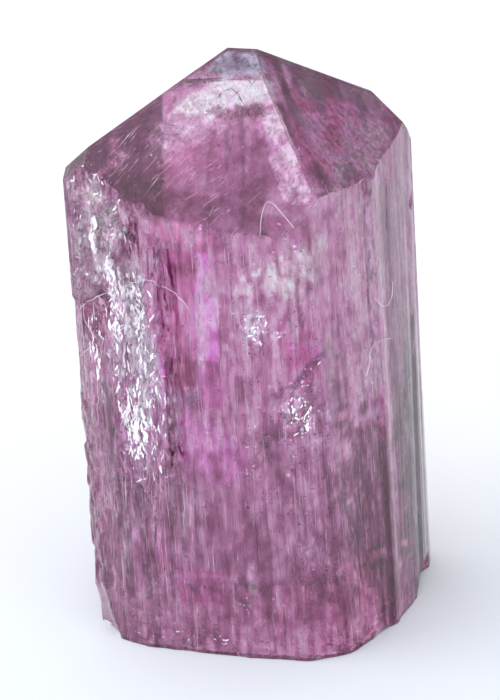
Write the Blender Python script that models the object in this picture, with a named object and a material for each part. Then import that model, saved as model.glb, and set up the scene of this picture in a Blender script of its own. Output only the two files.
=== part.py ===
"""A single rough crystal of pink-violet topaz, standing on its flat cleavage.

The prism is the space inside upright faces, and sloping faces close its top. Each upright face is
striated along its length. The left side is broken into splinters under a crumbled corner, with a
small ledge on its edge, and chips are missing along the edges. Metres, +Z up, origin at the centre
of the base.
"""

import math
import random

import bmesh
import bpy
from mathutils import Euler, Vector, noise

MM = 0.001
SEED = 11

# The upright faces, anticlockwise seen from above. Each has the direction that it looks in, in degrees
# from +X, its distance from the axis at the foot in millimetres, and how far it leans in, in degrees.
PRISM = (
    ("left corner", 231.0, 4.75, 0.0),
    ("front left", 248.9, 4.21, 0.0),
    ("front", 254.6, 4.28, 0.0),
    ("front corner", 283.6, 4.87, 0.2),
    ("front right corner", 303.0, 4.95, 0.9),
    ("right corner", 321.0, 4.64, 1.7),
    ("right front", 338.0, 4.58, 1.2),
    ("right", 351.5, 4.87, 0.0),
    ("right back", 26.0, 5.60, 0.0),
    ("back right", 69.0, 4.50, 0.0),
    ("back", 90.0, 4.78, 0.0),
    ("back corner", 128.0, 4.95, 0.0),
    ("left back", 161.0, 4.59, -0.25),
    ("left", 211.0, 5.36, -0.25),
)

# The sloping faces of the top: direction in degrees from +X, slope from level in degrees, and the
# height in millimetres at which each crosses the axis.
TERMINATION = (
    ("front", 258.0, 45.2, 18.15),
    ("right", 326.5, 44.6, 18.58),
    ("back right", 74.0, 42.4, 18.09),
    ("back left", 144.0, 41.9, 18.24),
    ("right shoulder", 25.0, 54.5, 21.82),
    ("tip", 257.0, 36.0, 17.94),
    ("left shoulder", 200.0, 55.0, 22.5),
)

# Striations: distance between the upright grooves and how unevenly they stand, as a part of it, the
# deepest groove, the power that sets how many are shallow, and how far a groove fades along its length.
GROOVE_PITCH = 0.30
GROOVE_JITTER = 0.3
GROOVE_DEPTH = 0.07
GROOVE_POWER = 0.7
GROOVE_FADE = 0.45
GROOVE_FADE_SPREAD = Vector((3.1, 5.0, 0.11))
CORNER_WEAR = 0.04

# Rows of points up the wall, as heights in millimetres.
ROW_HEIGHT = 0.62
WALL_TOP = 19.6

# Broken stretches of wall: the directions between which each lies, in degrees, its lowest and highest
# point, how deep it goes, and how wide and how long its splinters are.
BREAKS = (
    ("left splinters", 217.0, 236.0, 6.4, 13.2, 0.30, 0.45, 2.4),
    ("crumbled left corner", 199.0, 220.0, 11.3, 16.5, 0.34, 0.50, 0.60),
    ("left edge flakes", 194.0, 204.0, 2.5, 9.0, 0.05, 0.35, 0.70),
    ("back corner splinters", 104.0, 134.0, 2.4, 7.6, 0.38, 0.60, 1.70),
    ("back edge flakes", 24.0, 40.0, 6.5, 12.0, 0.22, 0.45, 0.90),
)
BREAK_STEPS = 4.0
BREAK_STEPPED_PART = 0.6
BREAK_CONTRAST = 0.7
BREAK_SIDE_FADE = 5.0
BREAK_END_FADE = 1.4
BREAK_RAGGED_END = 1.5
RAGGED_ANGLE = 7.0

# The ledge on the left edge: the upper block stands out from the wall under it, which fades back.
LEDGE_FROM, LEDGE_TO = 176.0, 210.0
LEDGE_HEIGHT = 10.9
LEDGE_FADE_TO = 7.0
LEDGE_DEPTH = 0.06
LEDGE_HALF_STEP = 0.06

# Scooped chips: direction from the axis in degrees, height, the three radii of the scoop (out of the
# wall, along the wall, up), how deep it bites into the wall, and its tilt in degrees.
CHIPS = (
    ("right foot", 358.0, -0.10, (1.10, 1.90, 0.95), 0.36, 14),
    ("front right foot", 322.0, -0.20, (0.75, 1.50, 0.55), 0.18, -10),
    ("left foot", 200.0, -0.30, (1.80, 2.60, 3.00), 0.40, 4),
    ("right edge notch", 12.0, 12.30, (0.50, 0.60, 0.36), 0.17, 24),
    ("left rim scoop", 212.0, 14.90, (0.90, 1.10, 0.70), 0.38, 34),
    ("front rim nick", 263.0, 13.80, (0.50, 0.60, 0.26), 0.16, 16),
    ("right rim flake", 330.0, 14.60, (0.45, 0.90, 0.30), 0.14, -8),
    ("back foot", 84.0, -0.10, (0.95, 2.10, 0.75), 0.34, 6),
    ("left back foot", 150.0, -0.15, (0.85, 1.50, 0.60), 0.26, -12),
    ("back edge scoop", 32.0, 3.60, (0.70, 0.90, 1.50), 0.26, 10),
    ("back rim nick", 104.0, 14.75, (0.80, 1.30, 0.55), 0.38, -14),
)
CHIP_RIPPLE = 0.09
CHIP_RIPPLE_PITCH = 2.3

# A face turned further than this from a direction doesn't bound the wall there. It is a cosine.
FACING_LIMIT = 0.2

# Surface: base colour, roughness and clearness of the stone.
TOPAZ_COLOR = (0.44, 0.19, 0.36, 1.0)
TOPAZ_ROUGHNESS = 0.18
TOPAZ_TRANSMISSION = 0.6
TOPAZ_IOR = 1.62


def clear_scene():
    for obj in list(bpy.data.objects):
        bpy.data.objects.remove(obj, do_unlink=True)


def flat_direction(azimuth):
    angle = math.radians(azimuth)
    return Vector((math.cos(angle), math.sin(angle), 0.0))


def smooth_step(low, high, value):
    part = min(max((value - low) / (high - low), 0.0), 1.0)
    return part * part * (3.0 - 2.0 * part)


def window(low, high, edge, value):
    """1 between low and high, falling to 0 over the width edge outside them."""
    return smooth_step(low - edge, low, value) * (1.0 - smooth_step(high, high + edge, value))


def section(height):
    """The corners of the prism at this height in millimetres. Corner i ends face i."""
    lines = []
    for _name, azimuth, distance, lean in PRISM:
        lines.append((flat_direction(azimuth), distance - height * math.tan(math.radians(lean))))
    corners = []
    for (first, first_distance), (second, second_distance) in zip(lines, lines[1:] + lines[:1]):
        cross = first.x * second.y - first.y * second.x
        x = (first_distance * second.y - second_distance * first.y) / cross
        y = (first.x * second_distance - second.x * first_distance) / cross
        corners.append(Vector((x, y, height)))
    return corners


def wall_distance(azimuth, height):
    """How far the unworn wall is from the axis in this direction, at this height, in millimetres."""
    reach = []
    for _name, face_azimuth, distance, lean in PRISM:
        facing = math.cos(math.radians(azimuth - face_azimuth))
        if facing > FACING_LIMIT:
            reach.append((distance - height * math.tan(math.radians(lean))) / facing)
    return min(reach)


def groove_columns(rng):
    """For each upright face, the places of its columns as fractions across it, and each groove's depth."""
    corners = section(0.0)
    faces = []
    for index in range(len(PRISM)):
        width = (corners[index] - corners[index - 1]).length
        count = max(2, round(width / GROOVE_PITCH))
        columns = [(0.0, CORNER_WEAR * rng.random())]
        for step in range(1, count):
            place = (step + rng.uniform(-GROOVE_JITTER, GROOVE_JITTER)) / count
            columns.append((place, GROOVE_DEPTH * rng.random() ** GROOVE_POWER))
        faces.append(columns)
    return faces


def row_heights():
    rows = [0.0]
    while rows[-1] < WALL_TOP:
        rows.append(rows[-1] + ROW_HEIGHT)
    rows += [LEDGE_HEIGHT - LEDGE_HALF_STEP, LEDGE_HEIGHT + LEDGE_HALF_STEP]
    nearest = [row for row in rows[:-2] if abs(row - LEDGE_HEIGHT) > ROW_HEIGHT / 3]
    return sorted(nearest + rows[-2:])


def wall_loss(point):
    """How far the breaks and the ledge put the wall behind its true face, in millimetres."""
    azimuth = math.degrees(math.atan2(point.y, point.x)) % 360.0
    loss = 0.0
    ragged = BREAK_RAGGED_END * noise.noise(Vector((azimuth / RAGGED_ANGLE, 0.0, point.z * 0.1)))
    for _name, start, end, low, high, depth, width, length in BREAKS:
        inside = window(start, end, BREAK_SIDE_FADE, azimuth)
        inside *= window(low, high, BREAK_END_FADE, point.z + ragged)
        place = Vector((point.x / width, point.y / width, point.z / length))
        splinter = 0.5 + BREAK_CONTRAST * noise.noise(place)
        stepped = math.floor(splinter * BREAK_STEPS + 0.5) / BREAK_STEPS
        share = BREAK_STEPPED_PART * stepped + (1.0 - BREAK_STEPPED_PART) * splinter
        loss += depth * inside * min(max(share, 0.0), 1.0)
    if point.z < LEDGE_HEIGHT:
        ledge = window(LEDGE_FROM, LEDGE_TO, BREAK_SIDE_FADE, azimuth)
        loss += LEDGE_DEPTH * ledge * smooth_step(LEDGE_FADE_TO, LEDGE_HEIGHT, point.z)
    return loss


def wall_ring(faces, height):
    """The points round the prism at this height, with its grooves, breaks and ledge."""
    corners = section(height)
    ring = []
    for index, columns in enumerate(faces):
        inward = -flat_direction(PRISM[index][1])
        for place, groove in columns:
            point = corners[index - 1].lerp(corners[index], place)
            spread = GROOVE_FADE_SPREAD
            drift = Vector((index * spread.x + place * spread.y, height * spread.z, 0.0))
            fade = 1.0 - GROOVE_FADE * (0.5 + 0.5 * noise.noise(drift))
            ring.append(point + inward * (groove * fade + wall_loss(point)))
    return ring


def build_prism(rng):
    mesh = bmesh.new()
    faces = groove_columns(rng)
    rings = []
    for height in row_heights():
        rings.append([mesh.verts.new(point * MM) for point in wall_ring(faces, height)])
    count = len(rings[0])
    for lower, upper in zip(rings, rings[1:]):
        for i in range(count):
            j = (i + 1) % count
            mesh.faces.new((lower[i], lower[j], upper[j], upper[i]))
    mesh.faces.new(list(reversed(rings[0])))
    mesh.faces.new(rings[-1])
    return mesh


def cut_termination(mesh):
    """Takes off what lies above each sloping face, and closes the cut with that face."""
    for _name, azimuth, slope, height in TERMINATION:
        tilt = math.radians(slope)
        normal = flat_direction(azimuth) * math.sin(tilt) + Vector((0.0, 0.0, math.cos(tilt)))
        everything = mesh.verts[:] + mesh.edges[:] + mesh.faces[:]
        cut = bmesh.ops.bisect_plane(
            mesh,
            geom=everything,
            dist=1e-7,
            plane_co=Vector((0.0, 0.0, height * MM)),
            plane_no=normal,
            clear_outer=True,
        )
        edges = [item for item in cut["geom_cut"] if isinstance(item, bmesh.types.BMEdge)]
        bmesh.ops.edgeloop_fill(mesh, edges=[edge for edge in edges if edge.is_boundary])
    bmesh.ops.dissolve_degenerate(mesh, edges=mesh.edges[:], dist=2e-6)
    bmesh.ops.recalc_face_normals(mesh, faces=mesh.faces[:])


def topaz_material():
    material = bpy.data.materials.new("topaz")
    material.use_nodes = True
    shader = material.node_tree.nodes["Principled BSDF"]
    shader.inputs["Base Color"].default_value = TOPAZ_COLOR
    shader.inputs["Roughness"].default_value = TOPAZ_ROUGHNESS
    shader.inputs["Metallic"].default_value = 0.0
    shader.inputs["Transmission Weight"].default_value = TOPAZ_TRANSMISSION
    shader.inputs["IOR"].default_value = TOPAZ_IOR
    material.diffuse_color = TOPAZ_COLOR
    return material


def add_object(name, mesh):
    data = bpy.data.meshes.new(name)
    mesh.to_mesh(data)
    mesh.free()
    obj = bpy.data.objects.new(name, data)
    bpy.context.scene.collection.objects.link(obj)
    return obj


def add_chip(name, azimuth, height, radii, depth, tilt):
    """A rippled scoop to be cut out of the crystal. All but its depth stands outside the wall."""
    mesh = bmesh.new()
    bmesh.ops.create_icosphere(mesh, subdivisions=3, radius=1.0)
    turn = Euler((math.radians(tilt), 0.0, math.radians(azimuth))).to_matrix()
    reach = wall_distance(azimuth, height) + radii[0] - depth
    centre = flat_direction(azimuth) * reach + Vector((0.0, 0.0, height))
    for vert in mesh.verts:
        ripple = 1.0 + CHIP_RIPPLE * noise.noise(vert.co * CHIP_RIPPLE_PITCH + centre)
        scaled = Vector([part * radius * ripple for part, radius in zip(vert.co, radii)])
        vert.co = (turn @ scaled + centre) * MM
    chip = add_object("chip " + name, mesh)
    chip.hide_render = True
    chip.display_type = "WIRE"
    return chip


def cut_chips(crystal, offset):
    for name, azimuth, height, radii, depth, tilt in CHIPS:
        chip = add_chip(name, azimuth, height, radii, depth, tilt)
        chip.location = offset
        cut = crystal.modifiers.new(name, "BOOLEAN")
        cut.operation = "DIFFERENCE"
        cut.solver = "EXACT"
        cut.object = chip


def main():
    clear_scene()
    rng = random.Random(SEED)
    mesh = build_prism(rng)
    cut_termination(mesh)
    lows = [min(vert.co[axis] for vert in mesh.verts) for axis in range(2)]
    highs = [max(vert.co[axis] for vert in mesh.verts) for axis in range(2)]
    offset = Vector((-(lows[0] + highs[0]) / 2, -(lows[1] + highs[1]) / 2, 0.0))
    bmesh.ops.translate(mesh, verts=mesh.verts[:], vec=offset)
    crystal = add_object("topaz_crystal", mesh)
    crystal.data.materials.append(topaz_material())
    cut_chips(crystal, offset)


main()
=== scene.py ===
import math
import random

import bmesh
import bpy
import numpy as np
from mathutils import Euler, Matrix, Vector, noise
from mathutils.bvhtree import BVHTree
from mathutils.geometry import delaunay_2d_cdt


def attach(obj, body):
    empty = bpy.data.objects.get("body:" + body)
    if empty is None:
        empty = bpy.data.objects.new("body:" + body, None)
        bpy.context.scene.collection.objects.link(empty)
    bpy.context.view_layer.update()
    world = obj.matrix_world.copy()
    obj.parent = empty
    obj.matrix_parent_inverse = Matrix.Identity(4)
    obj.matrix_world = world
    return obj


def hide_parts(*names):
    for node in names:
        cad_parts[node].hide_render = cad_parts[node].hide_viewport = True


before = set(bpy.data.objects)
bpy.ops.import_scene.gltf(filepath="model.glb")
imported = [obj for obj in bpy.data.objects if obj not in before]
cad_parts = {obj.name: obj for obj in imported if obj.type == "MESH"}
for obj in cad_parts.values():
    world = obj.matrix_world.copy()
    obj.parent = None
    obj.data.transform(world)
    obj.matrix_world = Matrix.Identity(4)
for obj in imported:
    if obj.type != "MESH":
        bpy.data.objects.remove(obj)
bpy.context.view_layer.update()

MM = 0.001
UP = Vector((0.0, 0.0, 1.0))

# The crystal's faces, as the solid has them. Upright faces: direction that each looks in, in degrees
# from +X, distance from the prism's axis at the foot, in millimetres, and lean in degrees.
PRISM = (
    ("left corner", 231.0, 4.75, 0.0),
    ("front left", 248.9, 4.21, 0.0),
    ("front", 254.6, 4.28, 0.0),
    ("front corner", 283.6, 4.87, 0.2),
    ("front right corner", 303.0, 4.95, 0.9),
    ("right corner", 321.0, 4.64, 1.7),
    ("right front", 338.0, 4.58, 1.2),
    ("right", 351.5, 4.87, 0.0),
    ("right back", 26.0, 5.60, 0.0),
    ("back right", 69.0, 4.50, 0.0),
    ("back", 90.0, 4.78, 0.0),
    ("back corner", 128.0, 4.95, 0.0),
    ("left back", 161.0, 4.59, -0.25),
    ("left", 211.0, 5.36, -0.25),
)

# Sloping faces: direction, slope from level in degrees, height at which each crosses the axis.
TERMINATION = (
    ("front", 258.0, 45.2, 18.15),
    ("right", 326.5, 44.6, 18.58),
    ("back right", 74.0, 42.4, 18.09),
    ("back left", 144.0, 41.9, 18.24),
    ("right shoulder", 25.0, 54.5, 21.82),
    ("tip", 257.0, 36.0, 17.94),
    ("left shoulder", 200.0, 55.0, 22.5),
)

# Striations of the solid, and its seed, so that the fine mesh has the same broad grooves.
SEED = 11
GROOVE_PITCH = 0.30
GROOVE_JITTER = 0.3
GROOVE_DEPTH = 0.07
GROOVE_POWER = 0.7
GROOVE_FADE = 0.45
GROOVE_FADE_SPREAD = Vector((3.1, 5.0, 0.11))
CORNER_WEAR = 0.04

# Breaks in the wall: directions, heights, depth, splinter width and length.
BREAKS = (
    ("left splinters", 217.0, 236.0, 6.4, 13.2, 0.30, 0.45, 2.4),
    ("crumbled left corner", 199.0, 220.0, 11.3, 16.5, 0.34, 0.50, 0.60),
    ("left edge flakes", 194.0, 204.0, 2.5, 9.0, 0.05, 0.35, 0.70),
    ("back corner splinters", 104.0, 134.0, 2.4, 7.6, 0.38, 0.60, 1.70),
    ("back edge flakes", 24.0, 40.0, 6.5, 12.0, 0.22, 0.45, 0.90),
)
BREAK_SIDE_FADE = 5.0
BREAK_END_FADE = 1.4
BREAK_RAGGED_END = 1.5
RAGGED_ANGLE = 7.0
RAGGED_HEIGHT_SCALE = 0.1

# Each shard of a break is a flat facet. Its least depth is a part of the break's, and its tilt is a
# slope. Small shards lie on the big ones.
SHARD_LEAST_DEPTH = 0.15
SHARD_SLOPE = Vector((0.55, 0.22))
SMALL_SHARD = 0.42
SMALL_SHARD_PART = 0.35
SMALL_SHARD_SHIFT = 3.0
SHARD_BEND = 0.35
SHARD_BEND_PITCH = (1.1, 1.6)
SHARD_LAYER = 0.5
SHARD_NUMBERS_LAYER = 5.0
MEAN_RADIUS = 5.0

# The ledge on the left edge.
LEDGE_FROM, LEDGE_TO = 176.0, 210.0
LEDGE_HEIGHT = 10.9
LEDGE_FADE_TO = 7.0
LEDGE_DEPTH = 0.06

# Scooped chips: direction, height, radii (out, along, up), depth and tilt in degrees.
CHIPS = (
    ("right foot", 358.0, -0.10, (1.10, 1.90, 0.95), 0.36, 14),
    ("front right foot", 322.0, -0.20, (0.75, 1.50, 0.55), 0.18, -10),
    ("left foot", 200.0, -0.30, (1.80, 2.60, 3.00), 0.40, 4),
    ("right edge notch", 12.0, 12.30, (0.50, 0.60, 0.36), 0.17, 24),
    ("left rim scoop", 212.0, 14.90, (0.90, 1.10, 0.70), 0.38, 34),
    ("front rim nick", 263.0, 13.80, (0.50, 0.60, 0.26), 0.16, 16),
    ("right rim flake", 330.0, 14.60, (0.45, 0.90, 0.30), 0.14, -8),
    ("back foot", 84.0, -0.10, (0.95, 2.10, 0.75), 0.34, 6),
    ("left back foot", 150.0, -0.15, (0.85, 1.50, 0.60), 0.26, -12),
    ("back edge scoop", 32.0, 3.60, (0.70, 0.90, 1.50), 0.26, 10),
    ("back rim nick", 104.0, 14.75, (0.80, 1.30, 0.55), 0.38, -14),
)
CHIP_RIPPLE = 0.09
CHIP_RIPPLE_PITCH = 2.3

# A face turned further than this from a direction doesn't bound the wall there. It is a cosine.
FACING_LIMIT = 0.2

# Hair-fine grooves of the walls: pitch round the prism, length, layer of the noise and depth. Near a
# corner they rise from this share of their depth, at this rate per width of the face.
STRIAE = (
    (0.22, 9.0, 3.0, 0.016),
    (0.085, 4.0, 7.0, 0.010),
)
STRIAE_CORNER_LEFT = 0.3
STRIAE_CORNER_RISE = 8.0

# Growth relief of the sloping faces: how fine, per millimetre, and how deep.
CAP_RELIEF = ((0.8, 0.010), (4.0, 0.006))

# The base: how far it lies up, its cleavage steps' pattern, number of levels and height, and its grain.
BASE_LIFT = 0.02
BASE_STEP_SCALE = 1.1
BASE_STEP_LEVELS = 6.0
BASE_STEP_HEIGHT = 0.12
BASE_GRAIN_SCALE = 9.0
BASE_GRAIN_DEPTH = 0.008

# Fine mesh of the crystal: pitch round the walls, with a wider one for faces that look back within these
# directions, pitch up the walls and on the flat faces, how far from a corner it is rounded and its losses
# turn inward, the height that the walls are cut down from, and the number that marks the base. Places
# within these gaps are the same, and an edge is sharp from this angle in degrees.
COLUMN_PITCH = 0.052
BACK_COLUMN_PITCH = 0.085
BACK_FACES = (50.0, 170.0)
ROW_PITCH = 0.125
CAP_PITCH = 0.10
CORNER_ROUNDING = 0.30
CORNER_BLEND = 0.80
WALL_TOP = 19.6
BASE_NUMBER = 20
PLANE_GAP = 1e-4
POINT_GAP = 1e-6
SHARP_ANGLE = 28.0

# Camera: the point that the picture is centred on, distance, elevation, roll, its sensor's height, the
# height that it sees at that point, and how near it sees, in metres.
AIM = Vector((-0.014, -0.021, 8.30))
CAMERA_DISTANCE = 150.0
CAMERA_ELEVATION = 23.0
CAMERA_ROLL = 3.5
SENSOR_HEIGHT = 36.0
VIEW_HEIGHT = 21.28
CLIP_START = 0.001


def flat_direction(azimuth):
    angle = math.radians(azimuth)
    return Vector((math.cos(angle), math.sin(angle), 0.0))


def smooth_step(low, high, value):
    part = min(max((value - low) / (high - low), 0.0), 1.0)
    return part * part * (3.0 - 2.0 * part)


def window(low, high, edge, value):
    return smooth_step(low - edge, low, value) * (1.0 - smooth_step(high, high + edge, value))


def soft_noise(place):
    """Noise at this place, from 0 to 1."""
    return 0.5 + 0.5 * noise.noise(place)


def section(height):
    """The corners of the prism at this height in millimetres. Corner i ends face i."""
    lines = []
    for _name, azimuth, distance, lean in PRISM:
        lines.append((flat_direction(azimuth), distance - height * math.tan(math.radians(lean))))
    corners = []
    for (first, first_distance), (second, second_distance) in zip(lines, lines[1:] + lines[:1]):
        cross = first.x * second.y - first.y * second.x
        x = (first_distance * second.y - second_distance * first.y) / cross
        y = (first.x * second_distance - second.x * first_distance) / cross
        corners.append(Vector((x, y, height)))
    return corners


def face_widths(corners):
    return [(corner - corners[index - 1]).length for index, corner in enumerate(corners)]


def corner_share(place):
    """How far this place on a face is from the nearer corner, as a share of the face's width."""
    return min(place, 1.0 - place)


def wall_distance(azimuth, height):
    """How far the wall is from the axis in this direction, in millimetres."""
    reach = []
    for _name, face_azimuth, distance, lean in PRISM:
        facing = math.cos(math.radians(azimuth - face_azimuth))
        if facing > FACING_LIMIT:
            reach.append((distance - height * math.tan(math.radians(lean))) / facing)
    return min(reach)


def broad_grooves(rng):
    """The grooves of the solid: for each face, their places as fractions across it and their depths."""
    faces = []
    for width in face_widths(section(0.0)):
        count = max(2, round(width / GROOVE_PITCH))
        columns = [(0.0, CORNER_WEAR * rng.random())]
        for step in range(1, count):
            place = (step + rng.uniform(-GROOVE_JITTER, GROOVE_JITTER)) / count
            columns.append((place, GROOVE_DEPTH * rng.random() ** GROOVE_POWER))
        faces.append(columns)
    for index, columns in enumerate(faces):
        columns.append((1.0, faces[(index + 1) % len(faces)][0][1]))
    return faces


def nearest_shard(x, y):
    """The way from the middle of the nearest shard, and three random numbers of that shard."""
    nearest = None
    for column in range(math.floor(x) - 1, math.floor(x) + 2):
        for row in range(math.floor(y) - 1, math.floor(y) + 2):
            cell = Vector((column + 0.5, row + 0.5, SHARD_LAYER))
            middle = noise.cell_vector(cell)
            away = Vector((x - column - middle.x, y - row - middle.y))
            if nearest is None or away.length_squared < nearest[0].length_squared:
                nearest = (away, cell)
    away, cell = nearest
    return away, noise.cell_vector(cell + UP * SHARD_NUMBERS_LAYER)


def shard_depth(along, height, depth, width, length):
    """How deep the facets of a break lie at this place, in millimetres."""
    around, upright = SHARD_BEND_PITCH
    bend = SHARD_BEND * noise.noise(Vector((along / around, height / upright, width)))
    away, numbers = nearest_shard(along / width + bend, height / length + bend)
    level = depth * (SHARD_LEAST_DEPTH + (1.0 - SHARD_LEAST_DEPTH) * numbers.z)
    slope = away.x * width * (numbers.x - 0.5) * SHARD_SLOPE.x
    slope += away.y * length * (numbers.y - 0.5) * SHARD_SLOPE.y
    return max(level + slope, 0.0)


def wall_loss(point):
    """How far the breaks and the ledge put the wall behind its true face, in millimetres."""
    azimuth = math.degrees(math.atan2(point.y, point.x)) % 360.0
    loss = 0.0
    place = Vector((azimuth / RAGGED_ANGLE, 0.0, point.z * RAGGED_HEIGHT_SCALE))
    ragged = BREAK_RAGGED_END * noise.noise(place)
    for _name, start, end, low, high, depth, width, length in BREAKS:
        inside = window(start, end, BREAK_SIDE_FADE, azimuth)
        if inside == 0.0:
            continue
        inside *= window(low, high, BREAK_END_FADE, point.z + ragged)
        if inside == 0.0:
            continue
        along = math.radians(azimuth) * MEAN_RADIUS
        loss += inside * shard_depth(along, point.z, depth, width, length)
        along += SMALL_SHARD_SHIFT
        small = shard_depth(along, point.z, depth, width * SMALL_SHARD, length * SMALL_SHARD)
        loss += inside * SMALL_SHARD_PART * small
    if point.z < LEDGE_HEIGHT:
        ledge = window(LEDGE_FROM, LEDGE_TO, BREAK_SIDE_FADE, azimuth)
        loss += LEDGE_DEPTH * ledge * smooth_step(LEDGE_FADE_TO, LEDGE_HEIGHT, point.z)
    return loss


def fine_striae(along, height):
    """Depth of the hair-fine grooves at this place round the prism and this height, in millimetres."""
    total = 0.0
    for pitch, length, layer, depth in STRIAE:
        total += depth * soft_noise(Vector((along / pitch, height / length, layer)))
    return total


def fine_columns():
    """For each column of the fine wall: its face, place across it and distance round the prism."""
    columns = []
    along = 0.0
    for index, width in enumerate(face_widths(section(0.0))):
        behind = BACK_FACES[0] < PRISM[index][1] < BACK_FACES[1]
        count = max(2, round(width / (BACK_COLUMN_PITCH if behind else COLUMN_PITCH)))
        for step in range(count):
            columns.append((index, step / count, along + width * step / count))
        along += width
    return columns


def next_face(index, place):
    """The face beyond the corner that this place is nearer to."""
    return index - 1 if place < 0.5 else (index + 1) % len(PRISM)


def inward_way(index, place, width):
    """Straight in on a face, and towards its middle line at a corner, so that the sides don't cross."""
    straight = -flat_direction(PRISM[index][1])
    middle = straight - flat_direction(PRISM[next_face(index, place)][1])
    near = max(1.0 - corner_share(place) * width / CORNER_BLEND, 0.0)
    return straight.lerp(middle / middle.dot(straight), near)


def corner_loss(index, place, width):
    """How far the rounding of the nearer corner puts the wall behind its true face."""
    turn = abs(PRISM[index][1] - PRISM[next_face(index, place)][1])
    half_turn = math.radians(min(turn, 360.0 - turn) / 2)
    near = max(1.0 - corner_share(place) * width / CORNER_ROUNDING, 0.0)
    return 0.5 * CORNER_ROUNDING * math.tan(half_turn) * near * near


def build_prism():
    """The walls as a fine grid of columns and rows, closed by a flat base and a flat top."""
    grooves = broad_grooves(random.Random(SEED))
    foot_widths = face_widths(section(0.0))
    columns = []
    for index, place, along in fine_columns():
        places, depths = zip(*grooves[index])
        groove = float(np.interp(place, places, depths))
        columns.append((index, place, along, groove, inward_way(index, place, foot_widths[index])))
    mesh = bmesh.new()
    rings = []
    spread = GROOVE_FADE_SPREAD
    for height in np.arange(0.0, WALL_TOP, ROW_PITCH):
        corners = section(height)
        widths = face_widths(corners)
        ring = []
        for index, place, along, groove, inward in columns:
            point = corners[index - 1].lerp(corners[index], place)
            drift = Vector((index * spread.x + place * spread.y, height * spread.z, 0.0))
            fade = 1.0 - GROOVE_FADE * soft_noise(drift)
            rise = min(corner_share(place) * STRIAE_CORNER_RISE + STRIAE_CORNER_LEFT, 1.0)
            fine = fine_striae(along, height) * rise + corner_loss(index, place, widths[index])
            ring.append(mesh.verts.new(point + inward * (groove * fade + fine + wall_loss(point))))
        rings.append(ring)
    for lower, upper in zip(rings, rings[1:]):
        for i in range(len(columns)):
            j = (i + 1) % len(columns)
            mesh.faces.new((lower[i], lower[j], upper[j], upper[i]))
    bmesh.ops.triangulate(mesh, faces=mesh.faces[:], quad_method="SHORT_EDGE")
    base = mesh.faces.new(list(reversed(rings[0])))
    base.material_index = BASE_NUMBER
    mesh.faces.new(rings[-1])
    return mesh


def cap_normal(azimuth, slope):
    tilt = math.radians(slope)
    return flat_direction(azimuth) * math.sin(tilt) + UP * math.cos(tilt)


def cut_termination(mesh):
    """Takes off what lies above each sloping face, and closes the cut with that face."""
    for number, (_name, azimuth, slope, height) in enumerate(TERMINATION):
        everything = mesh.verts[:] + mesh.edges[:] + mesh.faces[:]
        cut = bmesh.ops.bisect_plane(
            mesh,
            geom=everything,
            dist=PLANE_GAP,
            plane_co=UP * height,
            plane_no=cap_normal(azimuth, slope),
            clear_outer=True,
        )
        edges = [item for item in cut["geom_cut"] if isinstance(item, bmesh.types.BMEdge)]
        filled = bmesh.ops.edgeloop_fill(mesh, edges=[edge for edge in edges if edge.is_boundary])
        for face in filled["faces"]:
            face.material_index = number + 1


def inside_outline(x, y, outline):
    """True where the point is inside the outline and further than half a pitch from it."""
    inside = False
    for (x1, y1), (x2, y2) in zip(outline, outline[1:] + outline[:1]):
        if (y1 > y) != (y2 > y) and x < x1 + (x2 - x1) * (y - y1) / (y2 - y1):
            inside = not inside
        if abs(x1 - x) < CAP_PITCH / 2 and abs(y1 - y) < CAP_PITCH / 2:
            return False
    return inside


def grid_face(mesh, number, across, downhill):
    """Cuts the flat face with this number into small triangles, so that its surface can be shaped."""
    numbered = [face for face in mesh.faces if face.material_index == number]
    face = max(numbered, key=lambda face: face.calc_area())
    corners = list(face.verts)
    normal = face.normal.copy()
    level = corners[0].co.dot(normal)
    outline = [(vert.co.dot(across), vert.co.dot(downhill)) for vert in corners]
    low = [min(point[axis] for point in outline) for axis in range(2)]
    high = [max(point[axis] for point in outline) for axis in range(2)]
    points = list(outline)
    row_pitch = CAP_PITCH * math.sqrt(3.0) / 2.0
    for row in range(1, int((high[1] - low[1]) / row_pitch)):
        y = low[1] + row * row_pitch
        for column in range(int((high[0] - low[0]) / CAP_PITCH)):
            x = low[0] + (column + 0.5 * (row % 2)) * CAP_PITCH
            if inside_outline(x, y, outline):
                points.append((x, y))
    rim = list(range(len(outline)))
    found = delaunay_2d_cdt([Vector(point) for point in points], [], [rim], 1, POINT_GAP)
    places, _edges, triangles, origins = found[:4]
    mesh.faces.remove(face)
    verts = []
    for place, origin in zip(places, origins):
        known = [index for index in origin if index < len(corners)]
        if known:
            verts.append(corners[known[0]])
        else:
            verts.append(mesh.verts.new(across * place.x + downhill * place.y + normal * level))
    for triangle in triangles:
        added = mesh.faces.new([verts[index] for index in triangle])
        added.material_index = number


def grid_flat_faces(mesh):
    for number, (_name, azimuth, slope, _height) in enumerate(TERMINATION):
        across = UP.cross(flat_direction(azimuth))
        grid_face(mesh, number + 1, across, across.cross(cap_normal(azimuth, slope)))
    grid_face(mesh, BASE_NUMBER, Vector((1.0, 0.0, 0.0)), Vector((0.0, 1.0, 0.0)))


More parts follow.
